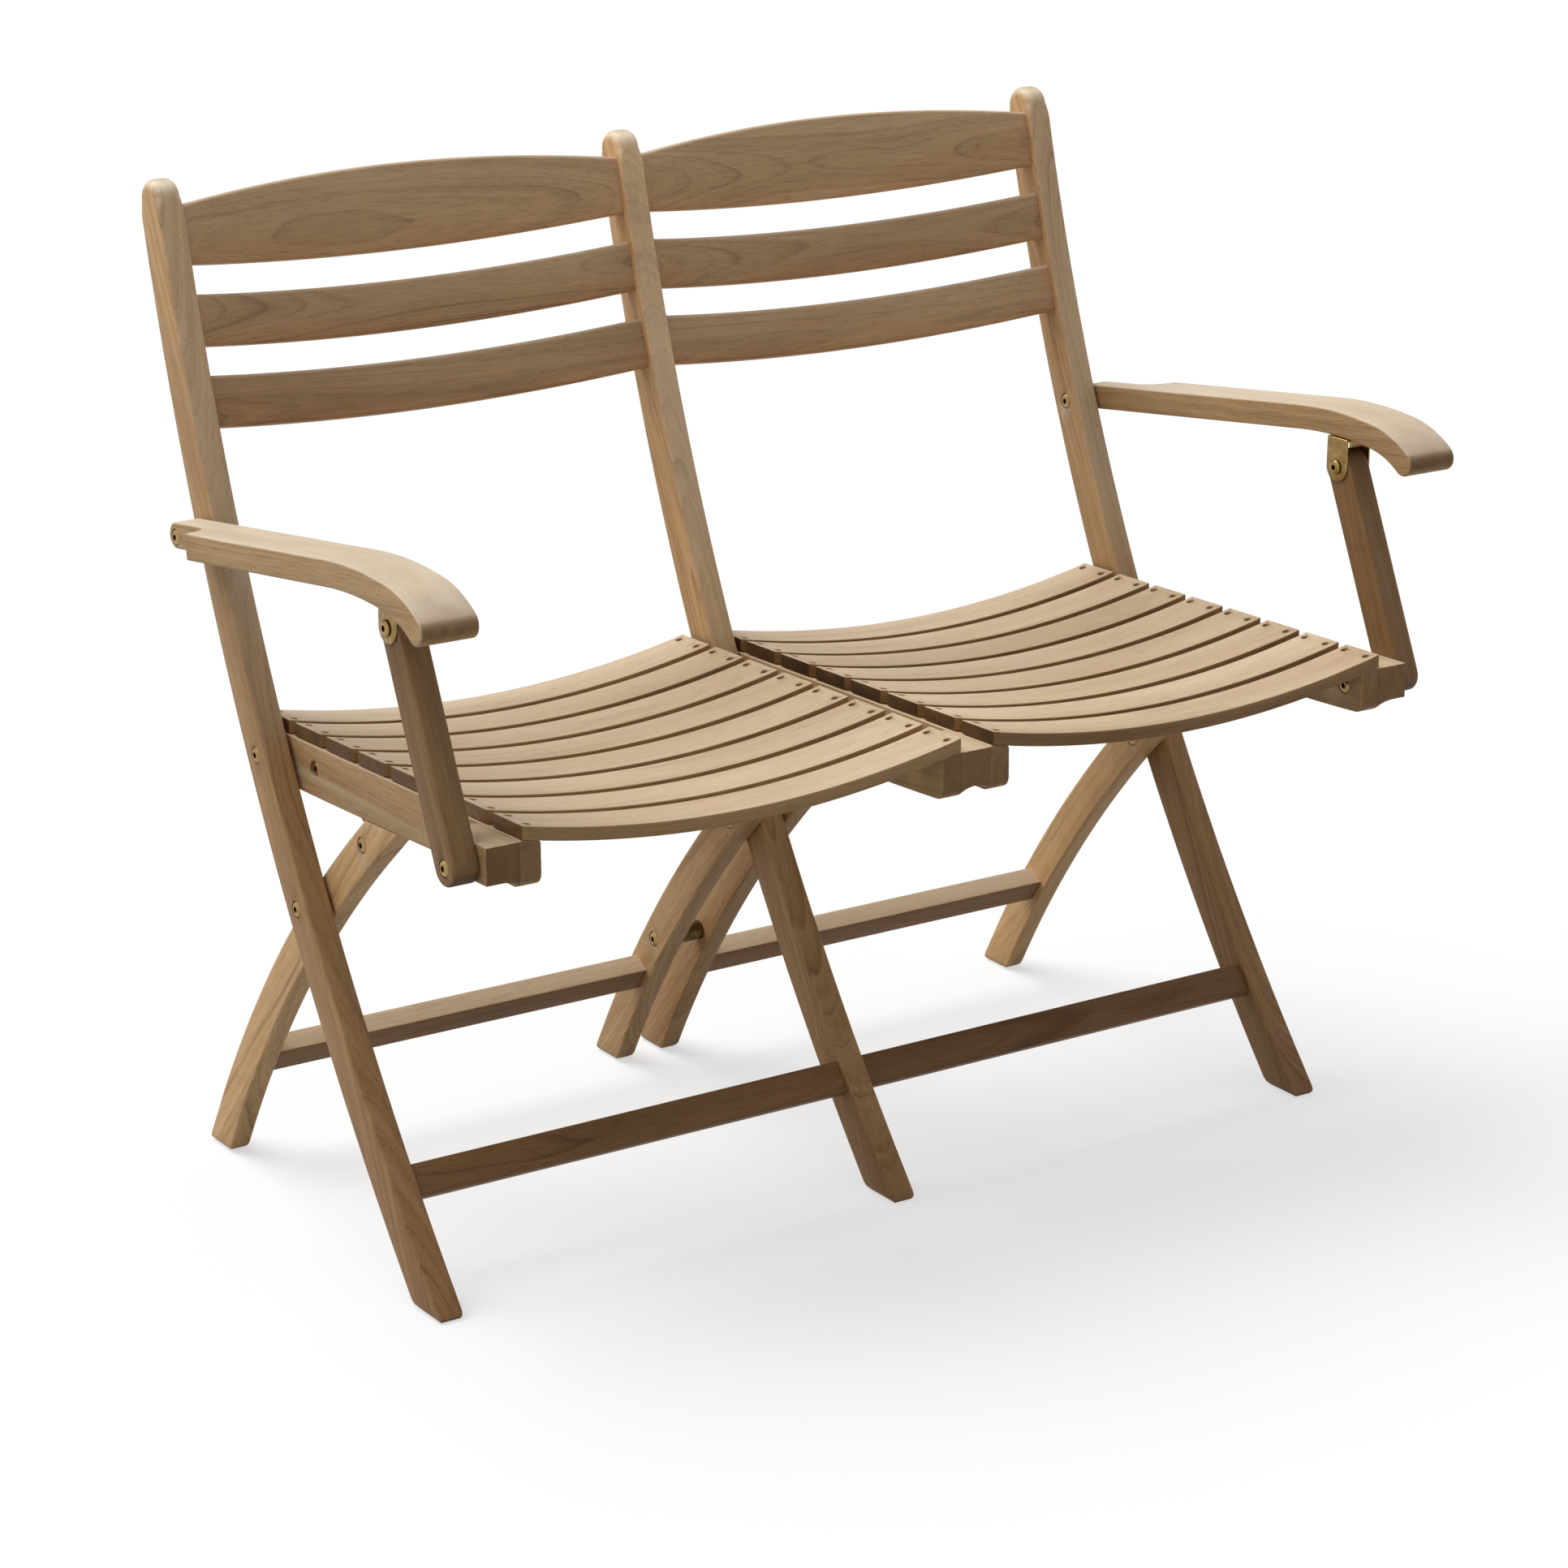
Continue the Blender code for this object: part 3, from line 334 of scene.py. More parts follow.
class BenchFinish(bpy.types.PropertyGroup):
    """Colours and figure of the timber, and the colour of the brass."""

    frame_colour: colour_property("Frame timber", "Posts and front stretchers", (0.56, 0.36, 0.18))
    leg_colour: colour_property("Leg timber", "Rear legs and their stretchers", (0.60, 0.39, 0.195))
    seat_colour: colour_property("Seat timber", "Slats, rails and blocks", (0.54, 0.36, 0.18))
    back_colour: colour_property("Back timber", "Back slats", (0.58, 0.365, 0.185))
    arm_colour: colour_property("Arm timber", "Arms and their supports", (0.50, 0.335, 0.17))
    brass_colour: colour_property("Brass", "Bolts, washers, links and brackets", (0.46, 0.31, 0.12))
    # The colour of the painted sheen on upward faces, a painted highlight that stands in for the light they
    # catch
    sheen_colour: colour_property(
        "Bleached timber", "Upper faces, where the sun has paled them", (0.80, 0.70, 0.55))
    ring_spacing: length_property("Ring spacing", "Width of a growth ring", 0.0036)
    figure: FloatProperty(
        name="Figure", description="Strength of the growth rings", default=0.72, subtype="FACTOR")


# Plane geometry of the side view

def direction(angle):
    return Vector((math.cos(angle), math.sin(angle)))


def angle_of(way):
    return math.atan2(way.y, way.x)


def slope_ways(slope):
    """The forward and upward ways of a piece that rises towards the front."""
    return Vector((-math.cos(slope), math.sin(slope))), Vector((math.sin(slope), math.cos(slope)))


def arc_centre(start, end, radius):
    """Centre of the arc of this radius from start to end that bends to the left of that way."""
    chord = Vector(end) - Vector(start)
    across = Vector((-chord.y, chord.x)).normalized()
    reach = math.sqrt(radius ** 2 - (chord.length / 2) ** 2)
    return (Vector(start) + Vector(end)) / 2 + across * reach


def angle_at_height(centre, radius, height):
    """Angle about the centre of the circle's rear point at this height."""
    return math.asin((height - centre.y) / radius)


def arc_points(centre, radius, start_angle, end_angle, steps):
    """Points along an arc, both ends among them."""
    turn = (end_angle - start_angle) / steps
    return [centre + direction(start_angle + turn * step) * radius for step in range(steps + 1)]


def first_crossing(centre, radius, point, way):
    """Where a line through a point first crosses a circle, going this way."""
    along = (centre - point).dot(way)
    off = (centre - point - way * along).length
    return point + way * (along - math.sqrt(radius ** 2 - off ** 2))


def spread(start, end, steps):
    """Even values from start to end, both among them."""
    return [start + (end - start) * step / steps for step in range(steps + 1)]


# Named places of the side view

POST_CENTRE = arc_centre((POST_FOOT_Y, 0), (POST_TOP_Y, HEIGHT), POST_ARC_RADIUS)


def on_post(height):
    """Point of the posts' centre line at this height."""
    angle = angle_at_height(POST_CENTRE, POST_ARC_RADIUS, height)
    return POST_CENTRE + direction(angle) * POST_ARC_RADIUS


SEAT_PIVOT = on_post(SEAT_PIVOT_HEIGHT)
LEG_PIVOT = on_post(LEG_PIVOT_HEIGHT)
ARM_PIVOT = on_post(HEIGHT - ARM_PIVOT_BELOW_TOP)
LEG_CENTRE = arc_centre((LEG_FOOT_Y, 0), LEG_PIVOT + Vector((LEG_LINE_BEHIND_PIVOT, 0)), LEG_ARC_RADIUS)
SEAT_FORWARD, SEAT_UP = slope_ways(SEAT_RISE)
RAIL_FRONT = SEAT_DEPTH - SEAT_BEHIND_PIVOT - RAIL_FRONT_SETBACK
SUPPORT_AHEAD = RAIL_FRONT - SUPPORT_BEHIND_FRONT
ARM_STRAIGHT = SUPPORT_AHEAD - ARM_BEND_BEHIND_SUPPORT


def in_seat(ahead, above):
    """Point of the seat, ahead of and above the seat pivot along the seat's own slope."""
    return SEAT_PIVOT + SEAT_FORWARD * ahead + SEAT_UP * above


def rail_bottom(ahead):
    """Height of the rails' underside over the seat pivot, which rises to the front in one flat curve."""
    return RAIL_TOP - RAIL_DEPTH + RAIL_FRONT_TAPER * (max(ahead, 0) / RAIL_FRONT) ** 2


def leg_top_line():
    """A point and the forward way of the line along the rails' underside on which the legs' tops end."""
    level = first_crossing(LEG_CENTRE, LEG_ARC_RADIUS, in_seat(0, rail_bottom(0)), SEAT_FORWARD)
    ahead = (level - SEAT_PIVOT).dot(SEAT_FORWARD)
    slope = 2 * RAIL_FRONT_TAPER * ahead / RAIL_FRONT ** 2
    way = (SEAT_FORWARD + SEAT_UP * slope).normalized()
    return in_seat(ahead, rail_bottom(ahead) - GAP), way


LEG_TOP = first_crossing(LEG_CENTRE, LEG_ARC_RADIUS, *leg_top_line())
LEG_TOP_ANGLE = angle_of(LEG_TOP - LEG_CENTRE)
LEG_BOLT_ANGLE = LEG_TOP_ANGLE - LEG_BOLT_BELOW_TOP / LEG_ARC_RADIUS
LEG_BOLT = LEG_CENTRE + direction(LEG_BOLT_ANGLE) * (LEG_ARC_RADIUS + LEG_BOLT_OFF_CENTRE)
TIE_BOLT = LEG_CENTRE + direction(angle_at_height(LEG_CENTRE, LEG_ARC_RADIUS, TIE_HEIGHT)) * LEG_ARC_RADIUS
LINK_PIVOT = in_seat(LINK_AHEAD_OF_PIVOT, -LINK_BELOW_PIVOT)
SUPPORT_PIVOT = in_seat(SUPPORT_AHEAD, -SUPPORT_BELOW_PIVOT)
BRACKET_PIVOT = SUPPORT_PIVOT + ARM_PIVOT - SEAT_PIVOT

# Named places along the bench, from its middle

POST_HALF = POST_THICKNESS / 2
POST_OUTER_FACE = POST_SPACING + POST_HALF
POST_INNER_FACE = POST_SPACING - POST_HALF
BAY_INNER = POST_HALF + PIVOT_GAP
BAY_OUTER = POST_INNER_FACE - PIVOT_GAP
POST_SHOULDERS = (POST_HALF - SHOULDER_REACH, POST_INNER_FACE + SHOULDER_REACH)
LEG_SHOULDERS = (BAY_INNER + LEG_THICKNESS - SHOULDER_REACH, BAY_OUTER - LEG_THICKNESS + SHOULDER_REACH)
SLAT_ENDS = (BAY_INNER + SLAT_SETBACK, BAY_OUTER - SLAT_SETBACK)
LINK_FACE = max(RAIL_THICKNESS, LEG_THICKNESS) + GAP
ARM_INNER = POST_OUTER_FACE + PIVOT_GAP
SUPPORT_INNER = ARM_INNER + SUPPORT_STANDOFF
SUPPORT_OUTER = SUPPORT_INNER + SUPPORT_THICKNESS
BRACKET_INNER = SUPPORT_INNER - GAP - BRACKET_PLATE
BRACKET_OUTER = SUPPORT_OUTER + GAP + BRACKET_PLATE

# Where each rail, leg and link stands, and the way it reaches into its bay from there
BAY_PLANES = {
    "left_outer": (-BAY_OUTER, 1),
    "left_inner": (-BAY_INNER, -1),
    "right_inner": (BAY_INNER, 1),
    "right_outer": (BAY_OUTER, -1),
}


def in_space(x, point):
    return Vector((x, point.x, point.y))


SEAT_AHEAD = in_space(0, SEAT_FORWARD)
SEAT_ABOVE = in_space(0, SEAT_UP)


def bay_rise(x, start, end):
    """One in the middle between two places and nothing at them, along a flat curve."""
    middle = (start + end) / 2
    return max(0, 1 - ((abs(x) - middle) / (end - middle)) ** 2)


def slat_drop(x):
    """How far the dished seat lies below its ends at this place along the bench."""
    return SLAT_DISH * bay_rise(x, *SLAT_ENDS)


# Shader nodes

class Nodes:
    """A short way to add and join the nodes of one tree."""

    def __init__(self, tree):
        self.tree = tree
        tree.nodes.clear()

    def feed(self, socket, value):
        if isinstance(value, bpy.types.NodeSocket):
            self.tree.links.new(value, socket)
        else:
            socket.default_value = value

    def add(self, kind, inputs=None, **settings):
        node = self.tree.nodes.new("ShaderNode" + kind)
        for key, value in settings.items():
            setattr(node, key, value)
        for key, value in (inputs or {}).items():
            self.feed(node.inputs[key], value)
        return node

    def math(self, operation, *values, clamp=False):
        return self.add("Math", dict(enumerate(values)), operation=operation, use_clamp=clamp).outputs[0]

    def plus(self, first, second, clamp=False):
        return self.math("ADD", first, second, clamp=clamp)

    def minus(self, first, second):
        return self.math("SUBTRACT", first, second)

    def times(self, first, second):
        return self.math("MULTIPLY", first, second)

    def noise(self, vector, scales, detail, roughness=0.5):
        """Noise with a scale of its own along each way of the vector."""
        stretched = self.add("VectorMath", {0: vector, 1: scales}, operation="MULTIPLY").outputs[0]
        node = self.add("TexNoise", {
            "Vector": stretched, "Scale": 1.0, "Detail": detail, "Roughness": roughness})
        return node.outputs["Fac"]

    def remap(self, value, low, high, to_low=0.0, to_high=1.0):
        node = self.add("MapRange", {0: value, 1: low, 2: high, 3: to_low, 4: to_high}, clamp=True)
        return node.outputs[0]

    def pattern(self, vector, scales, detail, roughness, *limits):
        """Noise of which one range is kept, and spread from nothing to one or between two other limits."""
        return self.remap(self.noise(vector, scales, detail, roughness), *limits)

    def surface(self, inputs):
        """The tree's shader, and its output."""
        self.add("OutputMaterial", {"Surface": self.add("BsdfPrincipled", inputs).outputs[0]})

    def mix(self, share, first, second, blend="MIX"):
        # The node's sockets for colours come after those for numbers and vectors
        node = self.add("Mix", {"Factor": share, 6: first, 7: second}, data_type="RGBA", blend_type=blend)
        return node.outputs[2]


# What a finish's red, green and blue are times in the parts of the wood, in the warm dark of oiled end
# grain and of painted shade, and in dull brass
EARLY_WOOD = (1.22, 1.22, 1.22)
GOLDEN_WOOD = (1.08, 0.94, 0.78)
LATE_WOOD = (0.50, 0.43, 0.36)
PORES = (0.30, 0.23, 0.17)
OIL_AND_SHADE_TINT = (1, 0.72, 0.46, 1)
DULL_BRASS = (0.20, 0.17, 0.15)

# The patterns in the wood: scales along and across the grain, detail, roughness, and the range that is kept
WOOD_PATTERNS = {
    "streak": ((5, 210, 210), 3, 0.6, 0.3, 0.7),
    "fleck": ((38, 850, 850), 2, 0.6, 0.48, 0.72),
    "pore": ((70, 1200, 1200), 1, 0.5, 0.66, 0.76),
    "warm": ((4, 24, 24), 2, 0.5, 0.45, 0.72),
    "blotch": ((3, 22, 22), 3, 0.5, 0.3, 0.7, -0.5, 0.5),
    "edge_rub_and_glint": ((30, 240, 240), 2, 0.5, 0.35, 0.65),
}

# How dark a ring is through its year, as (part of the year, darkness) pairs
YEAR = ((0, 0.35), (0.12, 0), (0.5, 0.1), (0.82, 0.55), (0.94, 1))

# As for the wood: how faint the rings are along the log and from one to the next, and broad dark bands
RING_PATTERNS = {
    "faint": ((5, 30, 30), 2, 0.5, 0.35, 0.65, 0.3, 1),
    "chosen": ((210, 0, 0), 2, 0.5, 0.42, 0.62, 0.12, 1),
    "band": ((95, 0, 0), 2, 0.5, 0.38, 0.62),
}


def shade(colour, factors):
    """A colour with its red, green and blue each times a factor, opaque."""
    return (*[min(1, part * factor) for part, factor in zip(colour, factors)], 1)


def ramp(nodes, value, stops):
    """A grey value along some (position, value) stops."""
    node = nodes.add("ValToRGB", {0: value})
    elements = node.color_ramp.elements
    while len(elements) < len(stops):
        elements.new(0.5)
    for element, (position, grey) in zip(elements, stops):
        element.position = position
        element.color = (grey, grey, grey, 1)
    return node.outputs[0]


def growth_rings(nodes, grain, spacing):
    """The thin dark late wood of rings about a heart line that wanders along the log."""
    along, across, through = nodes.add("SeparateXYZ", {0: grain}).outputs
    wander, ripple, ragged = [
        nodes.pattern(grain, scales, 1, 0.5, 0.25, 0.75, -reach, reach) for scales, reach in RING_DRIFTS]
    off_across = nodes.plus(nodes.plus(across, wander), ragged)
    off_through = nodes.plus(nodes.plus(through, nodes.times(wander, 0.7)), ripple)
    squared = nodes.plus(nodes.times(off_across, off_across), nodes.times(off_through, off_through))
    from_heart = nodes.plus(nodes.math("SQRT", squared), nodes.times(along, 0.02))
    outward = nodes.add("CombineXYZ", {0: from_heart}).outputs[0]
    seasons = nodes.noise(outward, (170, 0, 0), 1)
    phase = nodes.plus(nodes.math("DIVIDE", from_heart, spacing), nodes.times(seasons, 3.0))
    year = nodes.math("FRACT", phase)
    late = ramp(nodes, year, YEAR)
    faint = nodes.pattern(grain, *RING_PATTERNS["faint"])
    chosen, band = [nodes.pattern(outward, *RING_PATTERNS[key]) for key in ("chosen", "band")]
    return nodes.plus(nodes.times(late, nodes.times(faint, chosen)), nodes.times(band, 0.5))


def start_material(name):
    """A new material and its empty node tree."""
    material = bpy.data.materials.new(name)
    material.use_nodes = True
    return material, Nodes(material.node_tree)


def wear_and_light_parts(nodes):
    """The three values of the wear attribute: for timber, the arris mark with a painted edge highlight, the
    end grain, and the tone with painted light and shade; for brass, its dullness first.
    """
    attribute = nodes.add("Attribute", attribute_name="wear")
    return nodes.add("SeparateXYZ", {0: attribute.outputs["Vector"]}).outputs


def timber_material(name, kind, finish):
    """Oiled hardwood with rings, streaks, fibres and pores along the grain, with painted sheen where it
    faces up.
    """
    colour = tuple(getattr(finish, kind.colour))
    material, nodes = start_material(name)
    grain = nodes.add("Attribute", attribute_name="grain").outputs["Vector"]
    arris, end, tone = wear_and_light_parts(nodes)
    upward = nodes.add("Attribute", attribute_name="upward").outputs["Fac"]

    # The patterns in the wood
    rings = growth_rings(nodes, grain, finish.ring_spacing)
    fibre = nodes.noise(grain, (32, 1500, 1500), 2, 0.6)
    streak, fleck, pore, warm, blotch, edge_rub_and_glint = [
        nodes.pattern(grain, *pattern) for pattern in WOOD_PATTERNS.values()]

    # Its colour, from early to late wood, with painted sheen on upward faces, then with the pores
    depth = nodes.plus(nodes.times(rings, finish.figure * kind.figure), nodes.times(streak, 0.17))
    depth = nodes.plus(depth, nodes.times(fleck, 0.30))
    depth = nodes.plus(depth, nodes.remap(fibre, 0.3, 0.7, -0.08, 0.08), clamp=True)
    early = nodes.mix(nodes.times(warm, 0.7), shade(colour, EARLY_WOOD), shade(colour, GOLDEN_WOOD))
    body = nodes.mix(depth, early, shade(colour, LATE_WOOD))
    sheen_share = nodes.times(upward, nodes.remap(blotch, -0.5, 0.5, kind.bleach * 0.8, kind.bleach))
    body = nodes.mix(sheen_share, body, (*finish.sheen_colour, 1))
    body = nodes.mix(nodes.times(pore, 0.42), body, shade(colour, PORES))

    # Its tone, which holds painted light and shade besides the piece's own: warmer where it is darker or
    # cut across the grain, and pale at the arrises, as rubbing and a painted edge highlight
    level = nodes.plus(nodes.times(blotch, 0.14), tone)
    dark = nodes.math("MAXIMUM", nodes.times(level, -1.0), 0.0)
    dark = nodes.plus(dark, nodes.times(end, 0.5), clamp=True)
    body = nodes.mix(dark, body, OIL_AND_SHADE_TINT, "MULTIPLY")
    value = nodes.plus(nodes.math("MAXIMUM", level, 0.0), nodes.times(nodes.times(arris, edge_rub_and_glint), 0.12))
    value = nodes.times(nodes.plus(value, 1.0), nodes.minus(1.0, nodes.times(dark, 0.9)))
    adjusted = nodes.add("HueSaturation", {"Value": value, "Color": body})

    rough = nodes.plus(nodes.times(depth, 0.12), nodes.times(pore, 0.15))
    height = nodes.minus(nodes.times(fibre, 0.5), nodes.times(rings, 0.25))
    height = nodes.minus(height, nodes.times(pore, 0.8))
    bump = nodes.add("Bump", {"Strength": 0.4, "Distance": 0.0003, "Height": height})
    nodes.surface({
        "Base Color": adjusted.outputs[0], "Specular IOR Level": 0.28, "Roughness": nodes.plus(rough, 0.5),
        "Normal": bump.outputs[0]})
    return material


def brass_material(name, finish):
    """Satin brass with fine scratches, brown where its wear attribute is dull and in patches."""
    colour = tuple(finish.brass_colour)
    material, nodes = start_material(name)
    place = nodes.add("TexCoord").outputs["Object"]
    patch = nodes.pattern(place, (160, 160, 160), 4, 0.6, 0.35, 0.7)
    scratch = nodes.noise(place, (260, 2600, 900), 3, 0.65)
    dull = nodes.plus(wear_and_light_parts(nodes)[0], nodes.times(patch, 0.35), clamp=True)
    body = nodes.mix(dull, (*colour, 1), shade(colour, DULL_BRASS))
    rough = nodes.plus(nodes.times(dull, 0.25), nodes.remap(scratch, 0.3, 0.7, 0.22, 0.34))
    bump = nodes.add("Bump", {"Strength": 0.15, "Distance": 0.0001, "Height": scratch})
    nodes.surface({"Base Color": body, "Metallic": 1.0, "Roughness": rough, "Normal": bump.outputs[0]})
    return material


# Each timber's colour, the strength of its figure and how strong the painted sheen on its upper faces is
Timber = namedtuple("Timber", "colour figure bleach")
TIMBERS = {
    "frame_timber": Timber("frame_colour", 0.9, 0.9),
    "leg_timber": Timber("leg_colour", 0.8, 0.5),
    "seat_timber": Timber("seat_colour", 0.7, 0.42),
    "back_timber": Timber("back_colour", 1.0, 0.5),
    "arm_timber": Timber("arm_colour", 0.7, 0.72),
}


def material_for(slot):
    """The material of one slot, made when it is first asked for."""
    name = slot + "_finish"
    made = bpy.data.materials.get(name)
    if made:
        return made
    finish = bpy.context.scene.bench_finish
    if slot == "brass":
        return brass_material(name, finish)
    return timber_material(name, TIMBERS[slot], finish)


# Solids

CORNER_STEPS = 4
ROUND_STEPS = 18
FLAT_STEPS = 3
BEVEL_STEPS = 3
END_EASE = 0.0006
FOOT_EASE = 0.0065
BLOCK_EASE = 0.0008
LEAST_ARRIS = 0.0002
# How much of the pale arris mark, rubbing with a painted edge highlight, the ends of a round corner get
CORNER_EDGE_MARK = 0.4
SHARP_ANGLE = math.radians(32)
SMOOTH_ANGLE = math.radians(38)

# One section of a board: its middle, two ways across it, half its size along each, and its arris
Station = namedtuple("Station", "middle out side half_out half_side arris")


def section(x, point, out, half_out, half_side, arris, side=None):
    """A section at a point of the side view; its other way is the bench's own, if none is given."""
    other = in_space(0, side) if side else ALONG_BENCH
    return Station(in_space(x, point), in_space(0, out), other, half_out, half_side, arris)


def ring_of(station):
    """Points round a section and their arris mark, for pale rubbing with a painted edge highlight: its
    round corners, and the middle of each side.
    """
    points = []
    wear = []
    for corner in range(4):
        start = QUARTER * corner
        out_sign = 1 if corner in (0, 3) else -1
        side_sign = 1 if corner in (0, 1) else -1
        for step in range(CORNER_STEPS + 1):
            way = direction(start + QUARTER * step / CORNER_STEPS)
            out = out_sign * (station.half_out - station.arris) + way.x * station.arris
            side = side_sign * (station.half_side - station.arris) + way.y * station.arris
            points.append(station.middle + station.out * out + station.side * side)
            wear.append(1 if 0 < step < CORNER_STEPS else CORNER_EDGE_MARK)
        middle = direction(start + QUARTER)
        out = station.half_out * round(middle.x)
        side = station.half_side * round(middle.y)
        points.append(station.middle + station.out * out + station.side * side)
        wear.append(0)
    return points, wear


def new_layers(work):
    return work.verts.layers.float_vector.new("wear")


def add_ring(work, layer, station, plane=None, way=None):
    """Vertices of a section, slid along its way onto a plane where one is given."""
    made = []
    points, wear = ring_of(station)
    for point, rounded_edge in zip(points, wear):
        if plane:
            point = point + way * ((plane[0] - point).dot(plane[1]) / way.dot(plane[1]))
        vert = work.verts.new(point)
        vert[layer] = (rounded_edge, 0, 0)
        made.append(vert)
    return made


def join_rings(work, first, second):
    for index in range(len(first)):
        after = (index + 1) % len(first)
        work.faces.new((first[index], first[after], second[after], second[index]))


def skin(work, rings, capped=True):
    """Faces between neighbouring rings, and over the first and last one where they are capped."""
    for first, second in zip(rings, rings[1:]):
        join_rings(work, first, second)
    if capped:
        work.faces.new(rings[0])
        work.faces.new(rings[-1])


def smaller(station, inset):
    return station._replace(
        half_out=station.half_out - inset, half_side=station.half_side - inset,
        arris=max(station.arris - inset, LEAST_ARRIS))


def flat_end(work, layer, station, way, plane):
    """Rings that ease a flat end, more so at a foot, from just inside its plane to the plane itself."""
    rings = []
    spot, facing = plane
    ease = FOOT_EASE if facing == -UP else END_EASE
    for turn in spread(0, QUARTER, FLAT_STEPS):
        inset = ease * (1 - math.cos(turn))
        back = ease * (1 - math.sin(turn))
        shifted = (spot - facing * back, facing)
        rings.append(add_ring(work, layer, smaller(station, inset), shifted, way))
    work.faces.new(rings[-1])
    return rings


def round_end(work, layer, station, way, ring):
    """A half-round end about the line across the board, from the section's own last ring."""
    per_corner = CORNER_STEPS + 2
    far_side = 3 * per_corner - 1
    near_side = per_corner - 1
    count = len(ring)
    outer = [ring[(far_side + step) % count] for step in range(2 * per_corner + 1)]
    inner = [ring[(far_side - step) % count] for step in range(2 * per_corner + 1)]
    assert outer[-1] == ring[near_side] and inner[-1] == ring[near_side]
    previous = outer
    for step in range(1, ROUND_STEPS + 1):
        if step == ROUND_STEPS:
            current = inner
        else:
            turn = math.pi * step / ROUND_STEPS
            current = [outer[0]]
            for vert in outer[1:-1]:
                offset = vert.co - station.middle
                reach = offset.dot(station.out)
                shift = station.out * (math.cos(turn) - 1) + way * math.sin(turn)
                fresh = work.verts.new(vert.co + shift * reach)
                fresh[layer] = vert[layer]
                current.append(fresh)
            current.append(outer[-1])
        for index in range(len(outer) - 1):
            corners = [previous[index], previous[index + 1], current[index + 1], current[index]]
            work.faces.new(list(dict.fromkeys(corners)))
        previous = current


def set_back(end, stations, index):
    """Draws the last section back from a flat end that has no plane of its own, and gives it that plane."""
    kind, way, plane = end
    if kind == "round" or plane:
        return end, stations
    station = stations[index]
    moved = list(stations)
    moved[index] = station._replace(middle=station.middle - way * 2 * END_EASE)
    return (kind, way, (station.middle, way)), moved


def sweep(stations, start, end):
    """A board through sections. Each end is round or flat, as (kind, way, plane)."""
    work = bmesh.new()
    layer = new_layers(work)
    start, stations = set_back(start, stations, 0)
    end, stations = set_back(end, stations, -1)
    rings = [add_ring(work, layer, station) for station in stations]
    skin(work, rings, capped=False)
    for end, station, ring in ((start, stations[0], rings[0]), (end, stations[-1], rings[-1])):
        kind, way, plane = end
        if kind == "round":
            round_end(work, layer, station, way, ring)
        else:
            skin(work, [ring, *flat_end(work, layer, station, way, plane)], capped=False)
    return work


def even_sweep(stations, kind, way):
    """A board whose two ends are of one kind and face along one way."""
    return sweep(stations, (kind, -way, None), (kind, way, None))


def board(loops, arris):
    """A board through (x, outline) pairs, with its sharp edges rounded and the rounding marked for pale
    rubbing with a painted edge highlight.
    """
    work = bmesh.new()
    layer = new_layers(work)
    skin(work, [[work.verts.new(in_space(x, point)) for point in outline] for x, outline in loops])
    bmesh.ops.recalc_face_normals(work, faces=work.faces)
    sharp = [edge for edge in work.edges if edge.calc_face_angle() > SHARP_ANGLE]
    made = bmesh.ops.bevel(
        work, geom=sharp, offset=arris, segments=BEVEL_STEPS, profile=0.5, affect="EDGES",
        clamp_overlap=True)
    rounded = set(made["faces"])
    for vert in work.verts:
        rounded_edge = 1 if vert.link_faces and all(face in rounded for face in vert.link_faces) else 0
        vert[layer] = (rounded_edge, 0, 0)
    return work


def round_ring(work, centre, ways, radii, dullness):
    """Vertices round a centre, one for each radius, from the first way towards the second."""
    layer = work.verts.layers.float_vector["wear"]
    ring = []
    for index, radius in enumerate(radii):
        turn = direction(2 * math.pi * index / len(radii))
        ring.append(work.verts.new(centre + (ways[0] * turn.x + ways[1] * turn.y) * radius))
        ring[-1][layer] = (dullness, 0, 0)
    return ring


def turned(work, profile, place, sides, capped=True):
    """A solid turned about the line along X through a point; profile is (x, radius, dullness) steps."""
    rings = [
        round_ring(work, in_space(x, place), SIDE_VIEW, [radius] * sides, dullness)
        for x, radius, dullness in profile]
    skin(work, rings, capped)
    return rings


def metal():
    """A fresh bmesh for brass, whose wear layer says how dull the metal is."""
    work = bmesh.new()
    new_layers(work)
    return work


def rod(work, start, end, radius, place, sides):
    turned(work, [(x, radius, BRASS_DULLNESS) for x in (start, end)], place, sides)


# Objects

def linked(name, data):
    """A new object for some data, in the scene."""
    thing = bpy.data.objects.new(name, data)
    bpy.context.collection.objects.link(thing)
    return thing


def to_object(name, work):
    bmesh.ops.recalc_face_normals(work, faces=work.faces)
    mesh = bpy.data.meshes.new(name)
    work.to_mesh(mesh)
    work.free()
    mesh.shade_smooth()
    mesh.set_sharp_from_angle(angle=SMOOTH_ANGLE)
    return linked(name, mesh)


def carve(thing, cutters):
    """Cuts the cutters' solids out of an object's mesh."""
    tool = to_object(thing.name + "_cutter", cutters)
    boolean = thing.modifiers.new("carve", "BOOLEAN")
    boolean.operation = "DIFFERENCE"
    boolean.solver = "EXACT"
    boolean.object = tool
    bpy.context.view_layer.update()
    whole = thing.evaluated_get(bpy.context.evaluated_depsgraph_get())
    carved = bpy.data.meshes.new_from_object(whole)
    thing.modifiers.clear()
    thing.data = carved
    carved.name = thing.name
    carved.set_sharp_from_angle(angle=SMOOTH_ANGLE)
    bpy.data.objects.remove(tool)


Grain = namedtuple("Grain", "along across")


def straight_grain(start, end):
    """Grain from one point to another of the side view."""
    return Grain(in_space(0, Vector(end) - Vector(start)).normalized(), ALONG_BENCH)


def share_between(value, start, end):
    """How far a value lies between two others, held from nothing to one."""
    return min(1, max(0, (value - start) / (end - start)))


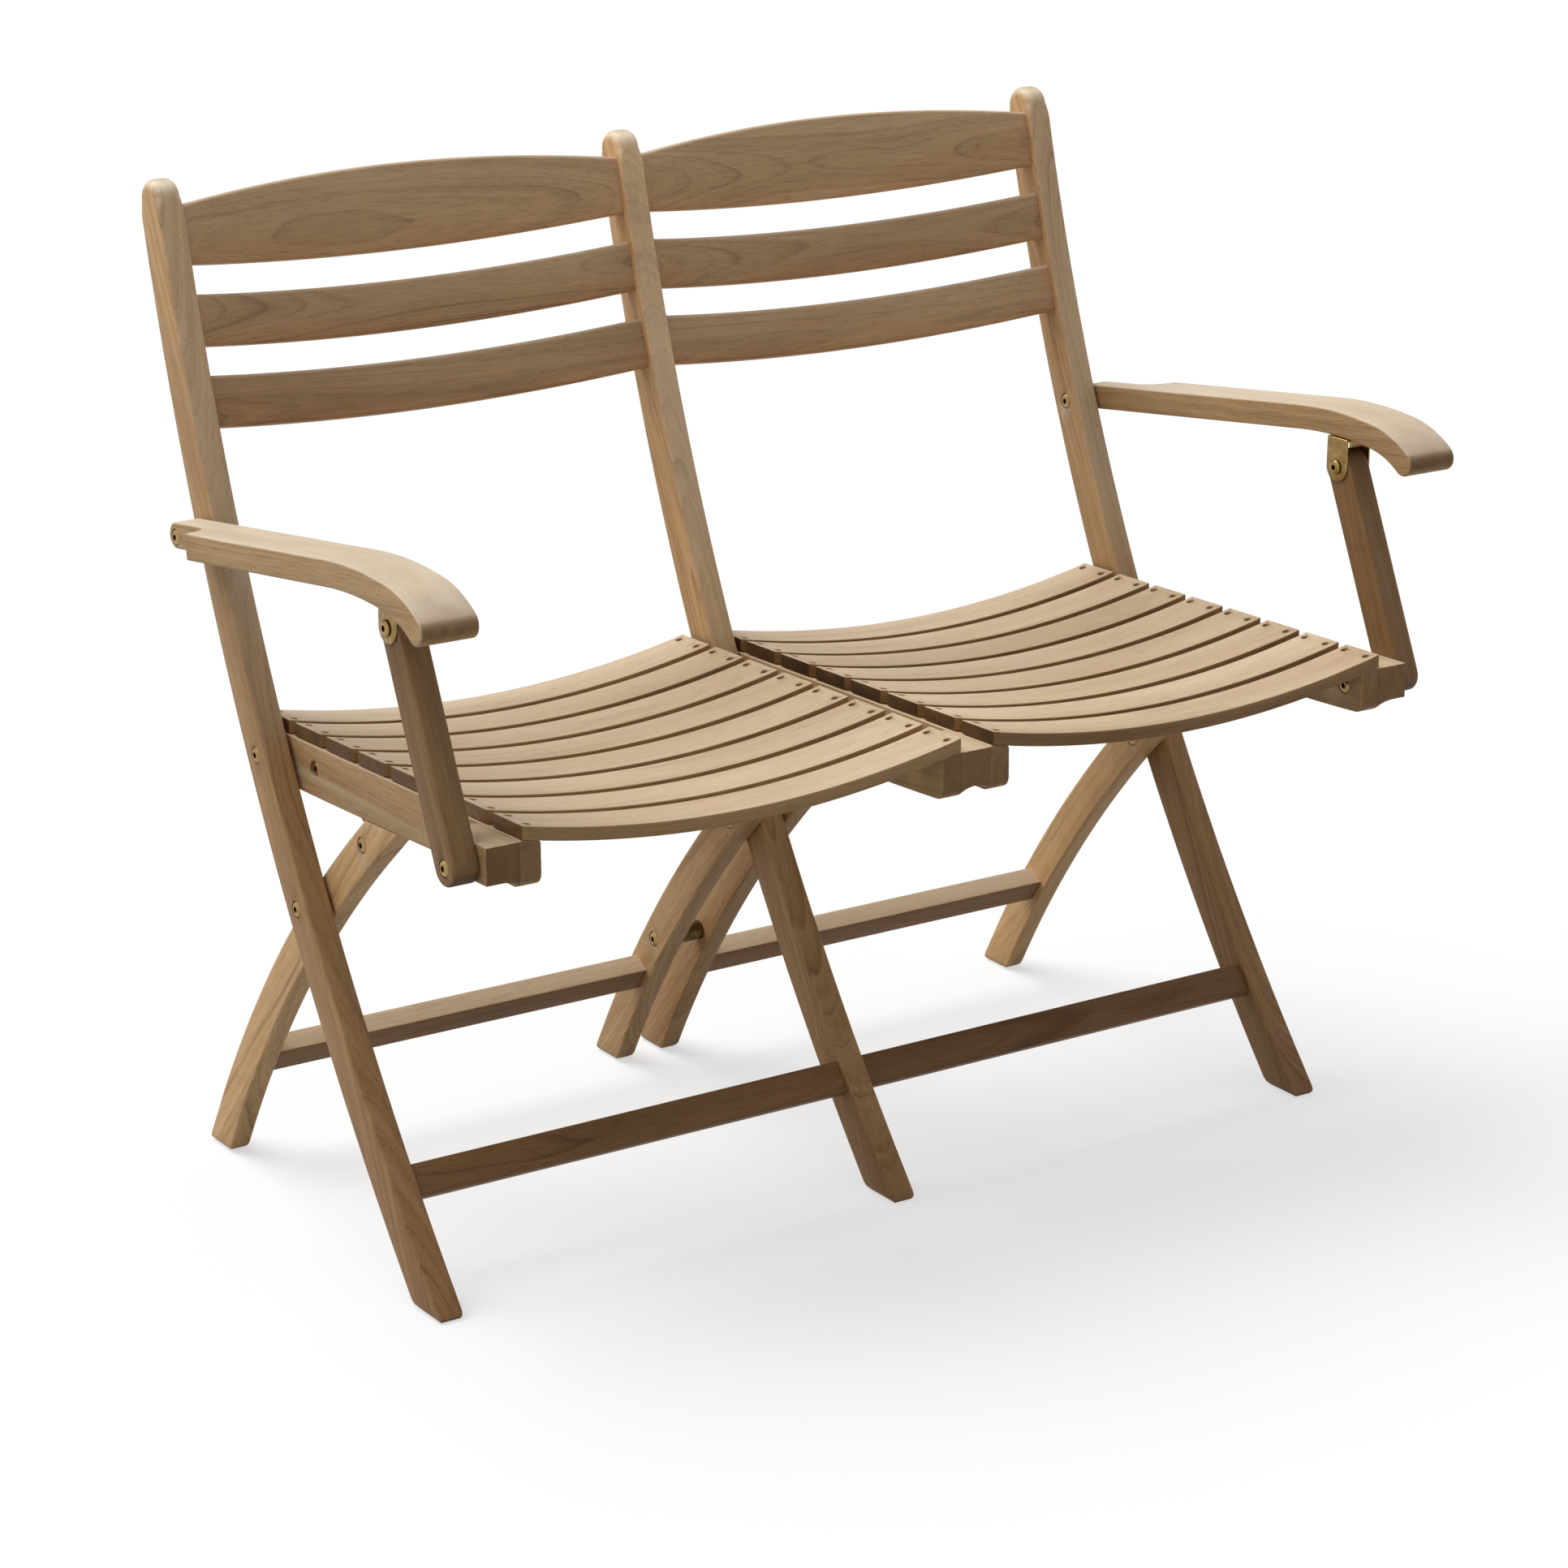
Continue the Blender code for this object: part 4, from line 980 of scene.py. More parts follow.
def lay_grain(thing, grain, tone, dish=0.0, fade=0.0, sheltered=0.0):
    """Writes where each vertex lies in its log, which differs from piece to piece, its end grain, its tone
    with painted light and shade, and its painted sheen.

    Dish is how much of the slats' dish the grain follows, and fade how fast the tone lightens with height,
    as painted light up high and painted shade low down.
    No face gets painted sheen well below the height given as sheltered, which paints the shade of the seat
    or arms.
    """
    chance = random.Random(thing.name)
    limits = ((0, LOG_LENGTH), (-HEART_ASIDE, HEART_ASIDE), HEART_DEPTHS)
    heart = Vector([chance.uniform(*pair) for pair in limits])
    if chance.random() < 0.5:
        heart.z = -heart.z
    own_tone = chance.uniform(-TONE_SPREAD, TONE_SPREAD)
    mesh = thing.data
    through = grain.along.cross(grain.across).normalized()
    across = through.cross(grain.along)
    corners = [Vector(corner) for corner in thing.bound_box]
    centre = (corners[0] + corners[6]) / 2
    mesh.attributes.new("grain", "FLOAT_VECTOR", "POINT")
    mesh.attributes.new("upward", "FLOAT", "POINT")
    places, upward, wear = (mesh.attributes[key] for key in ("grain", "upward", "wear"))
    for index, vert in enumerate(mesh.vertices):
        end = share_between(abs(vert.normal.dot(grain.along)), *END_GRAIN)
        point = vert.co.copy()
        # Painted sheen on faces that look up, none well below the cover height, as painted shade under the
        # seat or arms
        uncovered = share_between(point.z, sheltered - COVER_EDGE, sheltered)
        top_sheen = uncovered * share_between(vert.normal.z, *LEVEL_ENOUGH)
        upward.data[index].value = top_sheen
        if dish:
            point.z += dish * slat_drop(point.x)
        offset = point - centre
        spot = Vector((offset.dot(grain.along), offset.dot(across), offset.dot(through))) + heart
        places.data[index].vector = spot
        # A random tone of its own, the piece's tone kept mostly off upward faces, which is painted shade
        # for the darker pieces, and painted light that rises with height
        shading = own_tone + tone * (1 - TONE_LOST_ON_TOPS * top_sheen) + fade * (point.z - POST_LIGHT_LEVEL)
        wear.data[index].vector = (wear.data[index].vector[0], end, shading)


def finish_piece(thing, slot, body, *nodes):
    """Gives a piece its material, its body and the nodes that it stands for."""
    thing.data.materials.clear()
    thing.data.materials.append(material_for(slot))
    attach(thing, body)
    if nodes:
        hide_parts(*nodes)


def brass(name, work, body, *nodes, dullness=None, cutter=None):
    """A brass piece, which may be carved, and may have the same dullness all over."""
    thing = to_object(name, work)
    if cutter:
        carve(thing, cutter)
    if dullness is not None:
        for spot in thing.data.attributes["wear"].data:
            spot.vector = (dullness, 0, 0)
    finish_piece(thing, "brass", body, *nodes)


def timber(name, work, slot, body, grain, tone, seats=(), **light_and_dish):
    """A wooden piece; seats are the round recesses in it, as (place, face, way into the wood, depth)."""
    thing = to_object(name + "_wood", work)
    if seats:
        radius = bpy.context.scene.bench_sizes.head_radius + HEAD_CLEARANCE
        cutters = metal()
        for place, face, into, depth in seats:
            rod(cutters, face - into * CUTTER_REACH, face + into * depth, radius, place, HEAD_SIDES)
        carve(thing, cutters)
    lay_grain(thing, grain, tone, **light_and_dish)
    finish_piece(thing, slot, body, name)


def place_on_arc(centre, radius, angle, offset):
    """A point off a curved piece's centre line, and the ways along and across the piece there."""
    across = direction(angle)
    return centre + across * (radius + offset), Vector((-across.y, across.x)), across


# Wooden pieces

def post_sections(x, arris):
    """A post's sections, with edges that grow rounder towards its crown."""
    half = POST_DEPTH / 2
    foot = angle_at_height(POST_CENTRE, POST_ARC_RADIUS, half)
    crown = angle_at_height(POST_CENTRE, POST_ARC_RADIUS, HEIGHT - half)
    neck = crown - POST_CROWN / POST_ARC_RADIUS
    stations = []
    for angle in spread(foot, neck, POST_STEPS) + spread(neck, crown, CROWN_STEPS)[1:]:
        out = direction(angle)
        near = max(0, 1 - (crown - angle) * POST_ARC_RADIUS / POST_CROWN)
        rounding = arris + (POST_CROWN_ARRIS - arris) * near ** 2
        stations.append(section(x, POST_CENTRE + out * POST_ARC_RADIUS, out, half, POST_HALF, rounding))
    return stations


def way_between(first, second):
    return (second.middle - first.middle).normalized()


class BENCH_OT_posts(bpy.types.Operator):
    """The three curved posts, which are the front legs and carry the back"""
    bl_idname = "bench.posts"
    bl_label = "Posts"

    def execute(self, context):
        grain = straight_grain(*[on_post(height) for height in POST_GRAIN_HEIGHTS])
        for name, tone in POST_TONES.items():
            side = SIDES.get(name, 0)
            x = side * POST_SPACING
            stations = post_sections(x, context.scene.bench_sizes.post_arris)
            floor = (Vector((x, 0, 0)), -UP)
            work = sweep(stations, ("flat", way_between(stations[1], stations[0]), floor),
                         ("round", way_between(stations[-2], stations[-1]), None))
            seats = []
            if side:
                outer = side * POST_OUTER_FACE
                seats = [(place, outer, -side, HEAD_SUNK) for place in (SEAT_PIVOT, LEG_PIVOT)]
                seats.append((ARM_PIVOT, side * POST_INNER_FACE, side, HEAD_SUNK))
            # The posts are painted lighter up high and darker low down, and get no painted sheen under the
            # seat
            timber(name + "_post", work, "frame_timber", "post_frame", grain, tone, seats,
                   fade=POST_LIGHT_BY_HEIGHT, sheltered=POST_COVER_HEIGHT)
        return {"FINISHED"}


def straight_member(shoulders, side, place, width, thickness, arris):
    """A straight board on one side of the bench, between two shoulders at a place on a curved piece."""
    centre, along, across = place
    stations = [
        section(side * x, centre, across, thickness / 2, width / 2, arris, along) for x in shoulders]
    return even_sweep(stations, "flat", ALONG_BENCH * side)


class BENCH_OT_stretchers(bpy.types.Operator):
    """The flat stretchers between the posts and between the rear legs"""
    bl_idname = "bench.stretchers"
    bl_label = "Stretchers"

    def execute(self, context):
        arris = context.scene.bench_sizes.stretcher_arris
        offset = FRONT_STRETCHER_SETBACK + (FRONT_STRETCHER_THICKNESS - POST_DEPTH) / 2
        angle = angle_at_height(POST_CENTRE, POST_ARC_RADIUS + offset, FRONT_STRETCHER_HEIGHT)
        front = place_on_arc(POST_CENTRE, POST_ARC_RADIUS, angle, offset)
        angle = angle_at_height(LEG_CENTRE, LEG_ARC_RADIUS, REAR_STRETCHER_HEIGHT)
        rear = place_on_arc(LEG_CENTRE, LEG_ARC_RADIUS, angle, 0)
        for name, side in SIDES.items():
            work = straight_member(
                POST_SHOULDERS, side, front, FRONT_STRETCHER_WIDTH, FRONT_STRETCHER_THICKNESS, arris)
            grain = Grain(ALONG_BENCH, in_space(0, front[1]))
            # Painted shade all over, as under the seat, and no painted sheen
            timber(name + "_front_stretcher", work, "frame_timber", "post_frame", grain,
                   FRONT_STRETCHER_SHADES[name], sheltered=HEIGHT)
            work = straight_member(
                LEG_SHOULDERS, side, rear, REAR_STRETCHER_WIDTH, REAR_STRETCHER_THICKNESS, arris)
            grain = Grain(ALONG_BENCH, in_space(0, rear[1]))
            # Painted shade on the front and lower faces
            timber(name + "_rear_stretcher", work, "leg_timber", "rear_legs", grain, REAR_STRETCHER_SHADE)
        return {"FINISHED"}


class BENCH_OT_back_slats(bpy.types.Operator):
    """The three curved slats of each back, the top one with an arched upper edge"""
    bl_idname = "bench.back_slats"
    bl_label = "Back slats"

    def execute(self, context):
        arris = context.scene.bench_sizes.back_arris
        offset = BACK_SLAT_SETBACK + (BACK_SLAT_THICKNESS - POST_DEPTH) / 2
        radius = POST_ARC_RADIUS + offset
        top = angle_at_height(POST_CENTRE, radius, HEIGHT - BACK_TOP_DROP)
        for level, tone in BACK_TONES.items():
            width = BACK_TOP_SLAT_WIDTH if level == "top" else BACK_SLAT_WIDTH
            angle = top - width / 2 / radius
            centre, along, across = place_on_arc(POST_CENTRE, POST_ARC_RADIUS, angle, offset)
            grain = Grain(ALONG_BENCH, in_space(0, along))
            for name, side in SIDES.items():
                stations = []
                for x in spread(*POST_SHOULDERS, BACK_STEPS):
                    rise = bay_rise(x, POST_HALF, POST_INNER_FACE)
                    lower = -BACK_SAG * rise
                    upper = BACK_TOP_ARCH * rise if level == "top" else lower
                    middle = centre + along * (upper + lower) / 2 + across * BACK_BOW * rise
                    stations.append(section(
                        side * x, middle, across, BACK_SLAT_THICKNESS / 2, (width + upper - lower) / 2,
                        arris, along))
                work = even_sweep(stations, "flat", ALONG_BENCH * side)
                timber(f"{name}_back_slat_{level}", work, "back_timber", "post_frame", grain,
                       tone + BACK_TONE_BY_SIDE * side)
            top -= (width + BACK_SLAT_SPACE) / radius
        return {"FINISHED"}


def front_rounding():
    """The seat's round lower front corner from the front backwards, as (ahead, lowest height) pairs."""
    steps = []
    for angle in spread(0, QUARTER, COVE_STEPS):
        ahead = RAIL_FRONT - RAIL_FRONT_ROUND * (1 - math.cos(angle))
        steps.append((ahead, rail_bottom(RAIL_FRONT) + RAIL_FRONT_ROUND * (1 - math.sin(angle))))
    return steps


def rail_outline(drop):
    """A rail's outline in side view, its top lowered by some drop where the slats dip."""
    rear = -SEAT_BEHIND_PIVOT
    top = RAIL_TOP - drop
    points = [in_seat(rear, top), in_seat(RAIL_FRONT, top)]
    points += [in_seat(ahead, lowest) for ahead, lowest in front_rounding()]
    cove_height = RAIL_DEPTH - RAIL_REAR_LIP
    cove_radius = math.hypot(cove_height, RAIL_COVE_SETBACK)
    cove_middle = rear - RAIL_COVE_SETBACK
    for ahead in spread(RAIL_FRONT - RAIL_FRONT_ROUND, cove_middle + cove_radius, RAIL_STEPS)[1:-1]:
        points.append(in_seat(ahead, rail_bottom(ahead)))
    for angle in spread(0, math.atan2(cove_height, RAIL_COVE_SETBACK), RAIL_COVE_STEPS):
        ahead = cove_middle + cove_radius * math.cos(angle)
        points.append(in_seat(ahead, RAIL_TOP - RAIL_DEPTH + cove_radius * math.sin(angle)))
    return points


SEAT_GRAIN = Grain(SEAT_AHEAD, SEAT_ABOVE)


class BENCH_OT_rails(bpy.types.Operator):
    """The four rails under the ends of the seat slats"""
    bl_idname = "bench.rails"
    bl_label = "Seat rails"

    def execute(self, context):
        arris = context.scene.bench_sizes.rail_arris
        for name, (plane, way) in BAY_PLANES.items():
            inside = plane + way * RAIL_THICKNESS
            loops = [(plane, rail_outline(0)), (inside, rail_outline(slat_drop(inside)))]
            work = board(loops, arris)
            seats = [(SEAT_PIVOT, inside, -way, HEAD_SUNK), (LINK_PIVOT, plane, way, LINK_HEAD_SUNK)]
            if "outer" in name:
                seats.append((SUPPORT_PIVOT, inside, -way, HEAD_SUNK))
            timber(name + "_rail", work, "seat_timber", "seat", SEAT_GRAIN, RAIL_TONE, seats)
        return {"FINISHED"}


def slat_middle(index):
    """How far ahead of the seat pivot a slat's middle lies."""
    pitch = (SEAT_DEPTH - SLAT_WIDTH) / (SLAT_COUNT - 1)
    return SEAT_DEPTH - SEAT_BEHIND_PIVOT - SLAT_WIDTH / 2 - pitch * index


def screw_places():
    """Where a slat's screws stand, as their distance along the bench and from the slat's middle line."""
    ends = (SLAT_ENDS[0] + SCREW_FROM_END, SLAT_ENDS[1] - SCREW_FROM_END)
    return [(x, ahead) for x in ends for ahead in (-SCREW_SPREAD / 2, SCREW_SPREAD / 2)]


SLAT_REST = RAIL_TOP + GAP + SLAT_THICKNESS / 2


def screw_top(x, ahead):
    """Point of a slat's upper face at a screw, from the slat's middle line above the seat pivot."""
    return in_space(x, in_seat(ahead, SLAT_REST + SLAT_THICKNESS / 2 - slat_drop(x)))


def upright_rod(work, foot, profile, sides, dullness):
    """A solid turned about the seat's upward way; profile is (height, radius) pairs from the foot."""
    ways = (ALONG_BENCH, SEAT_AHEAD)
    skin(work, [
        round_ring(work, foot + SEAT_ABOVE * height, ways, [radius] * sides, dullness)
        for height, radius in profile])


class BENCH_OT_slats(bpy.types.Operator):
    """The eight dished slats of each seat, numbered from the front, with their screw holes"""
    bl_idname = "bench.slats"
    bl_label = "Seat slats"

    def execute(self, context):
        sizes = context.scene.bench_sizes
        grain = Grain(ALONG_BENCH, SEAT_AHEAD)
        hole = [(height, sizes.screw_radius) for height in (-CUTTER_REACH, CUTTER_REACH)]
        for side_name, side in SIDES.items():
            stations = []
            for x in spread(*SLAT_ENDS, SLAT_STEPS):
                stations.append(section(
                    side * x, in_seat(0, SLAT_REST - slat_drop(x)), SEAT_UP, SLAT_THICKNESS / 2,
                    SLAT_WIDTH / 2, sizes.slat_arris, SEAT_FORWARD))
            pattern = to_object(side_name + "_slat", even_sweep(stations, "flat", ALONG_BENCH * side))
            cutters = metal()
            for x, ahead in screw_places():
                upright_rod(cutters, screw_top(side * x, ahead), hole, SCREW_HOLE_SIDES, 0)
            carve(pattern, cutters)
            for slat in range(SLAT_COUNT):
                name = f"{side_name}_slat_{slat + 1}"
                mesh = pattern.data.copy()
                for vert in mesh.vertices:
                    vert.co += SEAT_AHEAD * slat_middle(slat)
                thing = linked(name + "_wood", mesh)
                # Painted shade on the slats' edges, gaps and undersides
                lay_grain(thing, grain, SLAT_SHADES[side_name], dish=GRAIN_DISH)
                finish_piece(thing, "seat_timber", "seat", name)
            bpy.data.objects.remove(pattern)
        return {"FINISHED"}


class BENCH_OT_screws(bpy.types.Operator):
    """The sunk screws at the ends of the seat slats"""
    bl_idname = "bench.screws"
    bl_label = "Slat screws"

    def execute(self, context):
        radius = context.scene.bench_sizes.screw_radius - SCREW_CLEARANCE
        profile = [
            (-SCREW_LENGTH, radius * SCREW_POINT), (-SCREW_SUNK - SCREW_HEAD, radius),
            (-SCREW_SUNK - SCREW_EASE, radius), (-SCREW_SUNK, radius * SCREW_TAPER),
            (-SCREW_SUNK, SCREW_SOCKET_RADIUS),
            (-SCREW_SUNK - SCREW_SOCKET_DEPTH, SCREW_SOCKET_RADIUS * SCREW_TAPER)]
        for side_name, side in SIDES.items():
            for slat in range(SLAT_COUNT):
                work = metal()
                for x, ahead in screw_places():
                    top = screw_top(side * x, ahead) + SEAT_AHEAD * slat_middle(slat)
                    upright_rod(work, top, profile, SCREW_SIDES, SCREW_DULLNESS)
                brass(f"{side_name}_slat_{slat + 1}_screws", work, "seat")
        return {"FINISHED"}


def block_outline(bottom):
    """A front block's outline in side view, where its underside is this high."""
    back = RAIL_FRONT - BLOCK_LENGTH
    top = RAIL_TOP - BLOCK_DROP
    points = [in_seat(back, top), in_seat(RAIL_FRONT, top)]
    points += [in_seat(ahead, max(lowest, bottom)) for ahead, lowest in front_rounding()]
    points.append(in_seat(back, bottom))
    return points


def cove_steps(width):
    """A cove's steps from the rail's underside up to the block's own, as (distance, height) pairs."""
    low = rail_bottom(RAIL_FRONT)
    rise = RAIL_TOP - BLOCK_DROP - BLOCK_DEPTH - low
    angles = spread(0, QUARTER, COVE_STEPS)
    return [(width * (1 - math.cos(angle)), low + rise * math.sin(angle)) for angle in angles]


def block(name, places):
    """A front block through places along the bench, given with the height of its underside there."""
    work = board([(x, block_outline(bottom)) for x, bottom in places], BLOCK_EASE)
    # Painted shade on the blocks' front and lower faces
    timber(name + "_front_block", work, "seat_timber", "seat", SEAT_GRAIN, BLOCK_SHADE)


class BENCH_OT_blocks(bpy.types.Operator):
    """The shaped blocks behind the seat's front edge"""
    bl_idname = "bench.blocks"
    bl_label = "Front blocks"

    def execute(self, context):
        for name, side in SIDES.items():
            places = [(BAY_OUTER + GAP + away, bottom) for away, bottom in cove_steps(BLOCK_COVE_WIDTH)]
            places.append((SUPPORT_INNER - GAP, places[-1][1]))
            block(name, [(side * x, bottom) for x, bottom in places])
        half = BAY_INNER - GAP
        arch = [(away - half, bottom) for away, bottom in cove_steps(half)]
        block("middle", arch + [(-x, bottom) for x, bottom in reversed(arch[:-1])])
        return {"FINISHED"}


class BENCH_OT_legs(bpy.types.Operator):
    """The four curved rear legs, cut at the top to lie along the rails"""
    bl_idname = "bench.legs"
    bl_label = "Rear legs"

    def execute(self, context):
        arris = context.scene.bench_sizes.leg_arris
        foot = angle_at_height(LEG_CENTRE, LEG_ARC_RADIUS, LEG_FIRST_SECTION)
        top = LEG_TOP_ANGLE - LEG_LAST_SECTION / LEG_ARC_RADIUS
        line_point, line_way = leg_top_line()
        grain = straight_grain(LEG_TOP, (LEG_FOOT_Y, 0))
        for name, (plane, way) in BAY_PLANES.items():
            x = plane + way * LEG_THICKNESS / 2
            stations = []
            for angle in spread(foot, top, LEG_STEPS):
                out = direction(angle)
                stations.append(section(
                    x, LEG_CENTRE + out * LEG_ARC_RADIUS, out, LEG_WIDTH / 2, LEG_THICKNESS / 2, arris))
            floor = (Vector((x, 0, 0)), -UP)
            rail = (in_space(x, line_point), in_space(0, Vector((line_way.y, -line_way.x))))
            work = sweep(stations, ("flat", way_between(stations[1], stations[0]), floor),
                         ("flat", way_between(stations[-2], stations[-1]), rail))
            inside = plane + way * LEG_THICKNESS
            seats = [(LEG_BOLT, plane, way, HEAD_SUNK), (LEG_PIVOT, inside, -way, HEAD_SUNK)]
            if "inner" in name:
                seats.append((TIE_BOLT, inside, -way, HEAD_SUNK))
            # Painted light on the outer legs, painted shade on the inner ones
            tone = LEG_LIGHT_AND_SHADE[name.split("_")[1]]
            timber(name + "_leg", work, "leg_timber", "rear_legs", grain, tone, seats)
        return {"FINISHED"}


def arm_place(length):
    """Point of the arm's centre line at this length from the arm pivot, and its slope there."""
    slope = ARM_RISE
    point = ARM_PIVOT + slope_ways(slope)[1] * ARM_ABOVE_PIVOT
    bends = ((ARM_STRAIGHT, 0), (ARM_BEND_LENGTH, 1 / ARM_BEND_RADIUS), (math.inf, 1 / ARM_NOSE_RADIUS))
    for stretch, curvature in bends:
        run = min(length, stretch)
        half_turn = run * curvature / 2
        chord = run * math.sin(half_turn) / half_turn if half_turn else run
        point = point + slope_ways(slope - half_turn)[0] * chord
        slope -= 2 * half_turn
        length -= run
    return point, slope


def arm_lengths():
    """The arm's sections from tongue to nose, as length and width."""
    cove = ARM_WIDTH - ARM_TONGUE_WIDTH
    pairs = [(length, ARM_TONGUE_WIDTH) for length in ARM_TONGUE_SECTIONS]
    for angle in spread(0, QUARTER, ARM_STEPS):
        pairs.append((ARM_SHOULDER_AHEAD + cove * math.sin(angle), ARM_WIDTH - cove * math.cos(angle)))
    nose_start = ARM_STRAIGHT + ARM_BEND_LENGTH
    lengths = spread(ARM_SHOULDER_AHEAD + cove, ARM_STRAIGHT, ARM_STRAIGHT_STEPS)[1:]
    lengths += spread(ARM_STRAIGHT, nose_start, ARM_STEPS)[1:]
    lengths += spread(nose_start, nose_start + ARM_NOSE_LENGTH, ARM_NOSE_STEPS)[1:]
    return pairs + [(length, ARM_WIDTH) for length in lengths]


class BENCH_OT_arms(bpy.types.Operator):
    """The two arms, with a narrow tongue, a coved shoulder and a turned-down round nose"""
    bl_idname = "bench.arms"
    bl_label = "Arms"

    def execute(self, context):
        arris = context.scene.bench_sizes.arm_arris
        grain = straight_grain(ARM_PIVOT, arm_place(ARM_STRAIGHT)[0])
        for name, side in SIDES.items():
            stations = []
            ways = []
            for length, width in arm_lengths():
                point, slope = arm_place(length)
                forward, upward = slope_ways(slope)
                stations.append(section(
                    side * (ARM_INNER + width / 2), point, upward, ARM_THICKNESS / 2, width / 2, arris))
                ways.append(in_space(0, forward))
            work = sweep(stations, ("round", -ways[0], None), ("round", ways[-1], None))
            seats = [(ARM_PIVOT, side * (ARM_INNER + ARM_TONGUE_WIDTH), -side, HEAD_SUNK)]
            timber(name + "_arm", work, "arm_timber", name + "_arm", grain, ARM_TONES[name], seats)
        return {"FINISHED"}


def bar(x, start, end, width, thickness, arris, steps=1):
    """A straight bar with half-round ends about two points of the side view."""
    along = (end - start).normalized()
    across = Vector((-along.y, along.x))
    stations = [
        section(x, start.lerp(end, share), across, width / 2, thickness / 2, arris)
        for share in spread(0, 1, steps)]
    return even_sweep(stations, "round", in_space(0, along))


class BENCH_OT_supports(bpy.types.Operator):
    """The slanting supports that carry the arms"""
    bl_idname = "bench.supports"
    bl_label = "Arm supports"

    def execute(self, context):
        arris = context.scene.bench_sizes.support_arris
        grain = straight_grain(SUPPORT_PIVOT, BRACKET_PIVOT)
        for name, side in SIDES.items():
            work = bar(
                side * (SUPPORT_INNER + SUPPORT_OUTER) / 2, SUPPORT_PIVOT, BRACKET_PIVOT, SUPPORT_WIDTH,
                SUPPORT_THICKNESS, arris, SUPPORT_STEPS)
            seats = [(SUPPORT_PIVOT, side * SUPPORT_OUTER, -side, HEAD_SUNK)]
            # Painted shade all over, as under the arm, and no painted sheen
            timber(name + "_support", work, "arm_timber", name + "_support", grain, SUPPORT_SHADE, seats,
                   sheltered=HEIGHT)
        return {"FINISHED"}


# Brass pieces

def bolt_head(work, place, face, into, sunk=HEAD_SUNK):
    """A domed head with a hexagon socket, seated in the wood at some depth under its face."""
    sizes = bpy.context.scene.bench_sizes
    seat = face + into * (sunk - GAP)
    radius = sizes.head_radius
    apothem = sizes.socket_width / 2
    lip = apothem * SOCKET_LIP
    profile = [
        (seat, SHANK_RADIUS, 1), (seat, radius - HEAD_EASE, 1), (seat - into * HEAD_EASE, radius, 1),
        (seat - into * HEAD_RIM, radius, RIM_DULLNESS)]
    for turn in spread(0, 1, DOME_STEPS)[1:]:
        reach = radius + (lip - radius) * turn
        rise = HEAD_RIM + HEAD_DOME * math.sin(QUARTER * min(1, turn * DOME_FULLNESS))
        dullness = LIP_DULLNESS if turn == 1 else DOME_DULLNESS * (1 - turn)
        profile.append((seat - into * rise, reach, dullness))
    rings = turned(work, profile, place, HEAD_SIDES, capped=False)
    hexagon = []
    for index in range(HEAD_SIDES):
        from_flat = (2 * math.pi * index / HEAD_SIDES + SIXTH / 2) % SIXTH - SIXTH / 2
        hexagon.append(apothem / math.cos(from_flat))
    level = seat - into * (HEAD_RIM + HEAD_DOME)
    socket = [
        round_ring(work, in_space(x, place), SIDE_VIEW, hexagon, 1)
        for x in (level, level + into * SOCKET_DEPTH)]
    skin(work, [rings[-1], *socket], capped=False)
    work.faces.new(socket[1])
    work.faces.new(rings[0])
    return seat


def collar(work, place, start, end, radius, dullness=BRASS_DULLNESS):
    """A washer or spacer, with its edges just broken."""
    way = math.copysign(COLLAR_EASE, end - start)
    narrow = radius - COLLAR_EASE
    profile = [(start, narrow), (start + way, radius), (end - way, radius), (end, narrow)]
    turned(work, [(x, reach, dullness) for x, reach in profile], place, COLLAR_SIDES)


def washer(near, far):
    """A washer between two faces of wood, as a collar's start, end and radius."""
    inset = math.copysign(GAP, far - near)
    return near + inset, far - inset, bpy.context.scene.bench_sizes.washer_radius


def make_bolt(name, body, place, faces, sunk=(HEAD_SUNK, HEAD_SUNK), collars=(), nodes=()):
    """A bolt between two faces, with a head at each end, its shank, and the washers or spacer on it."""
    work = metal()
    into = math.copysign(1, faces[1] - faces[0])
    near = bolt_head(work, place, faces[0], into, sunk[0])
    far = bolt_head(work, place, faces[1], -into, sunk[1])
    rod(work, near, far, SHANK_RADIUS, place, SHANK_SIDES)
    for shape in collars:
        collar(work, place, *shape)
    brass(name, work, body, *nodes)


def pivot_bolt(name, place, faces, *collars):
    """A pivot's bolt in the posts, with its washers."""
    make_bolt(name + "_brass", "post_frame", place, faces, collars=collars, nodes=[name])


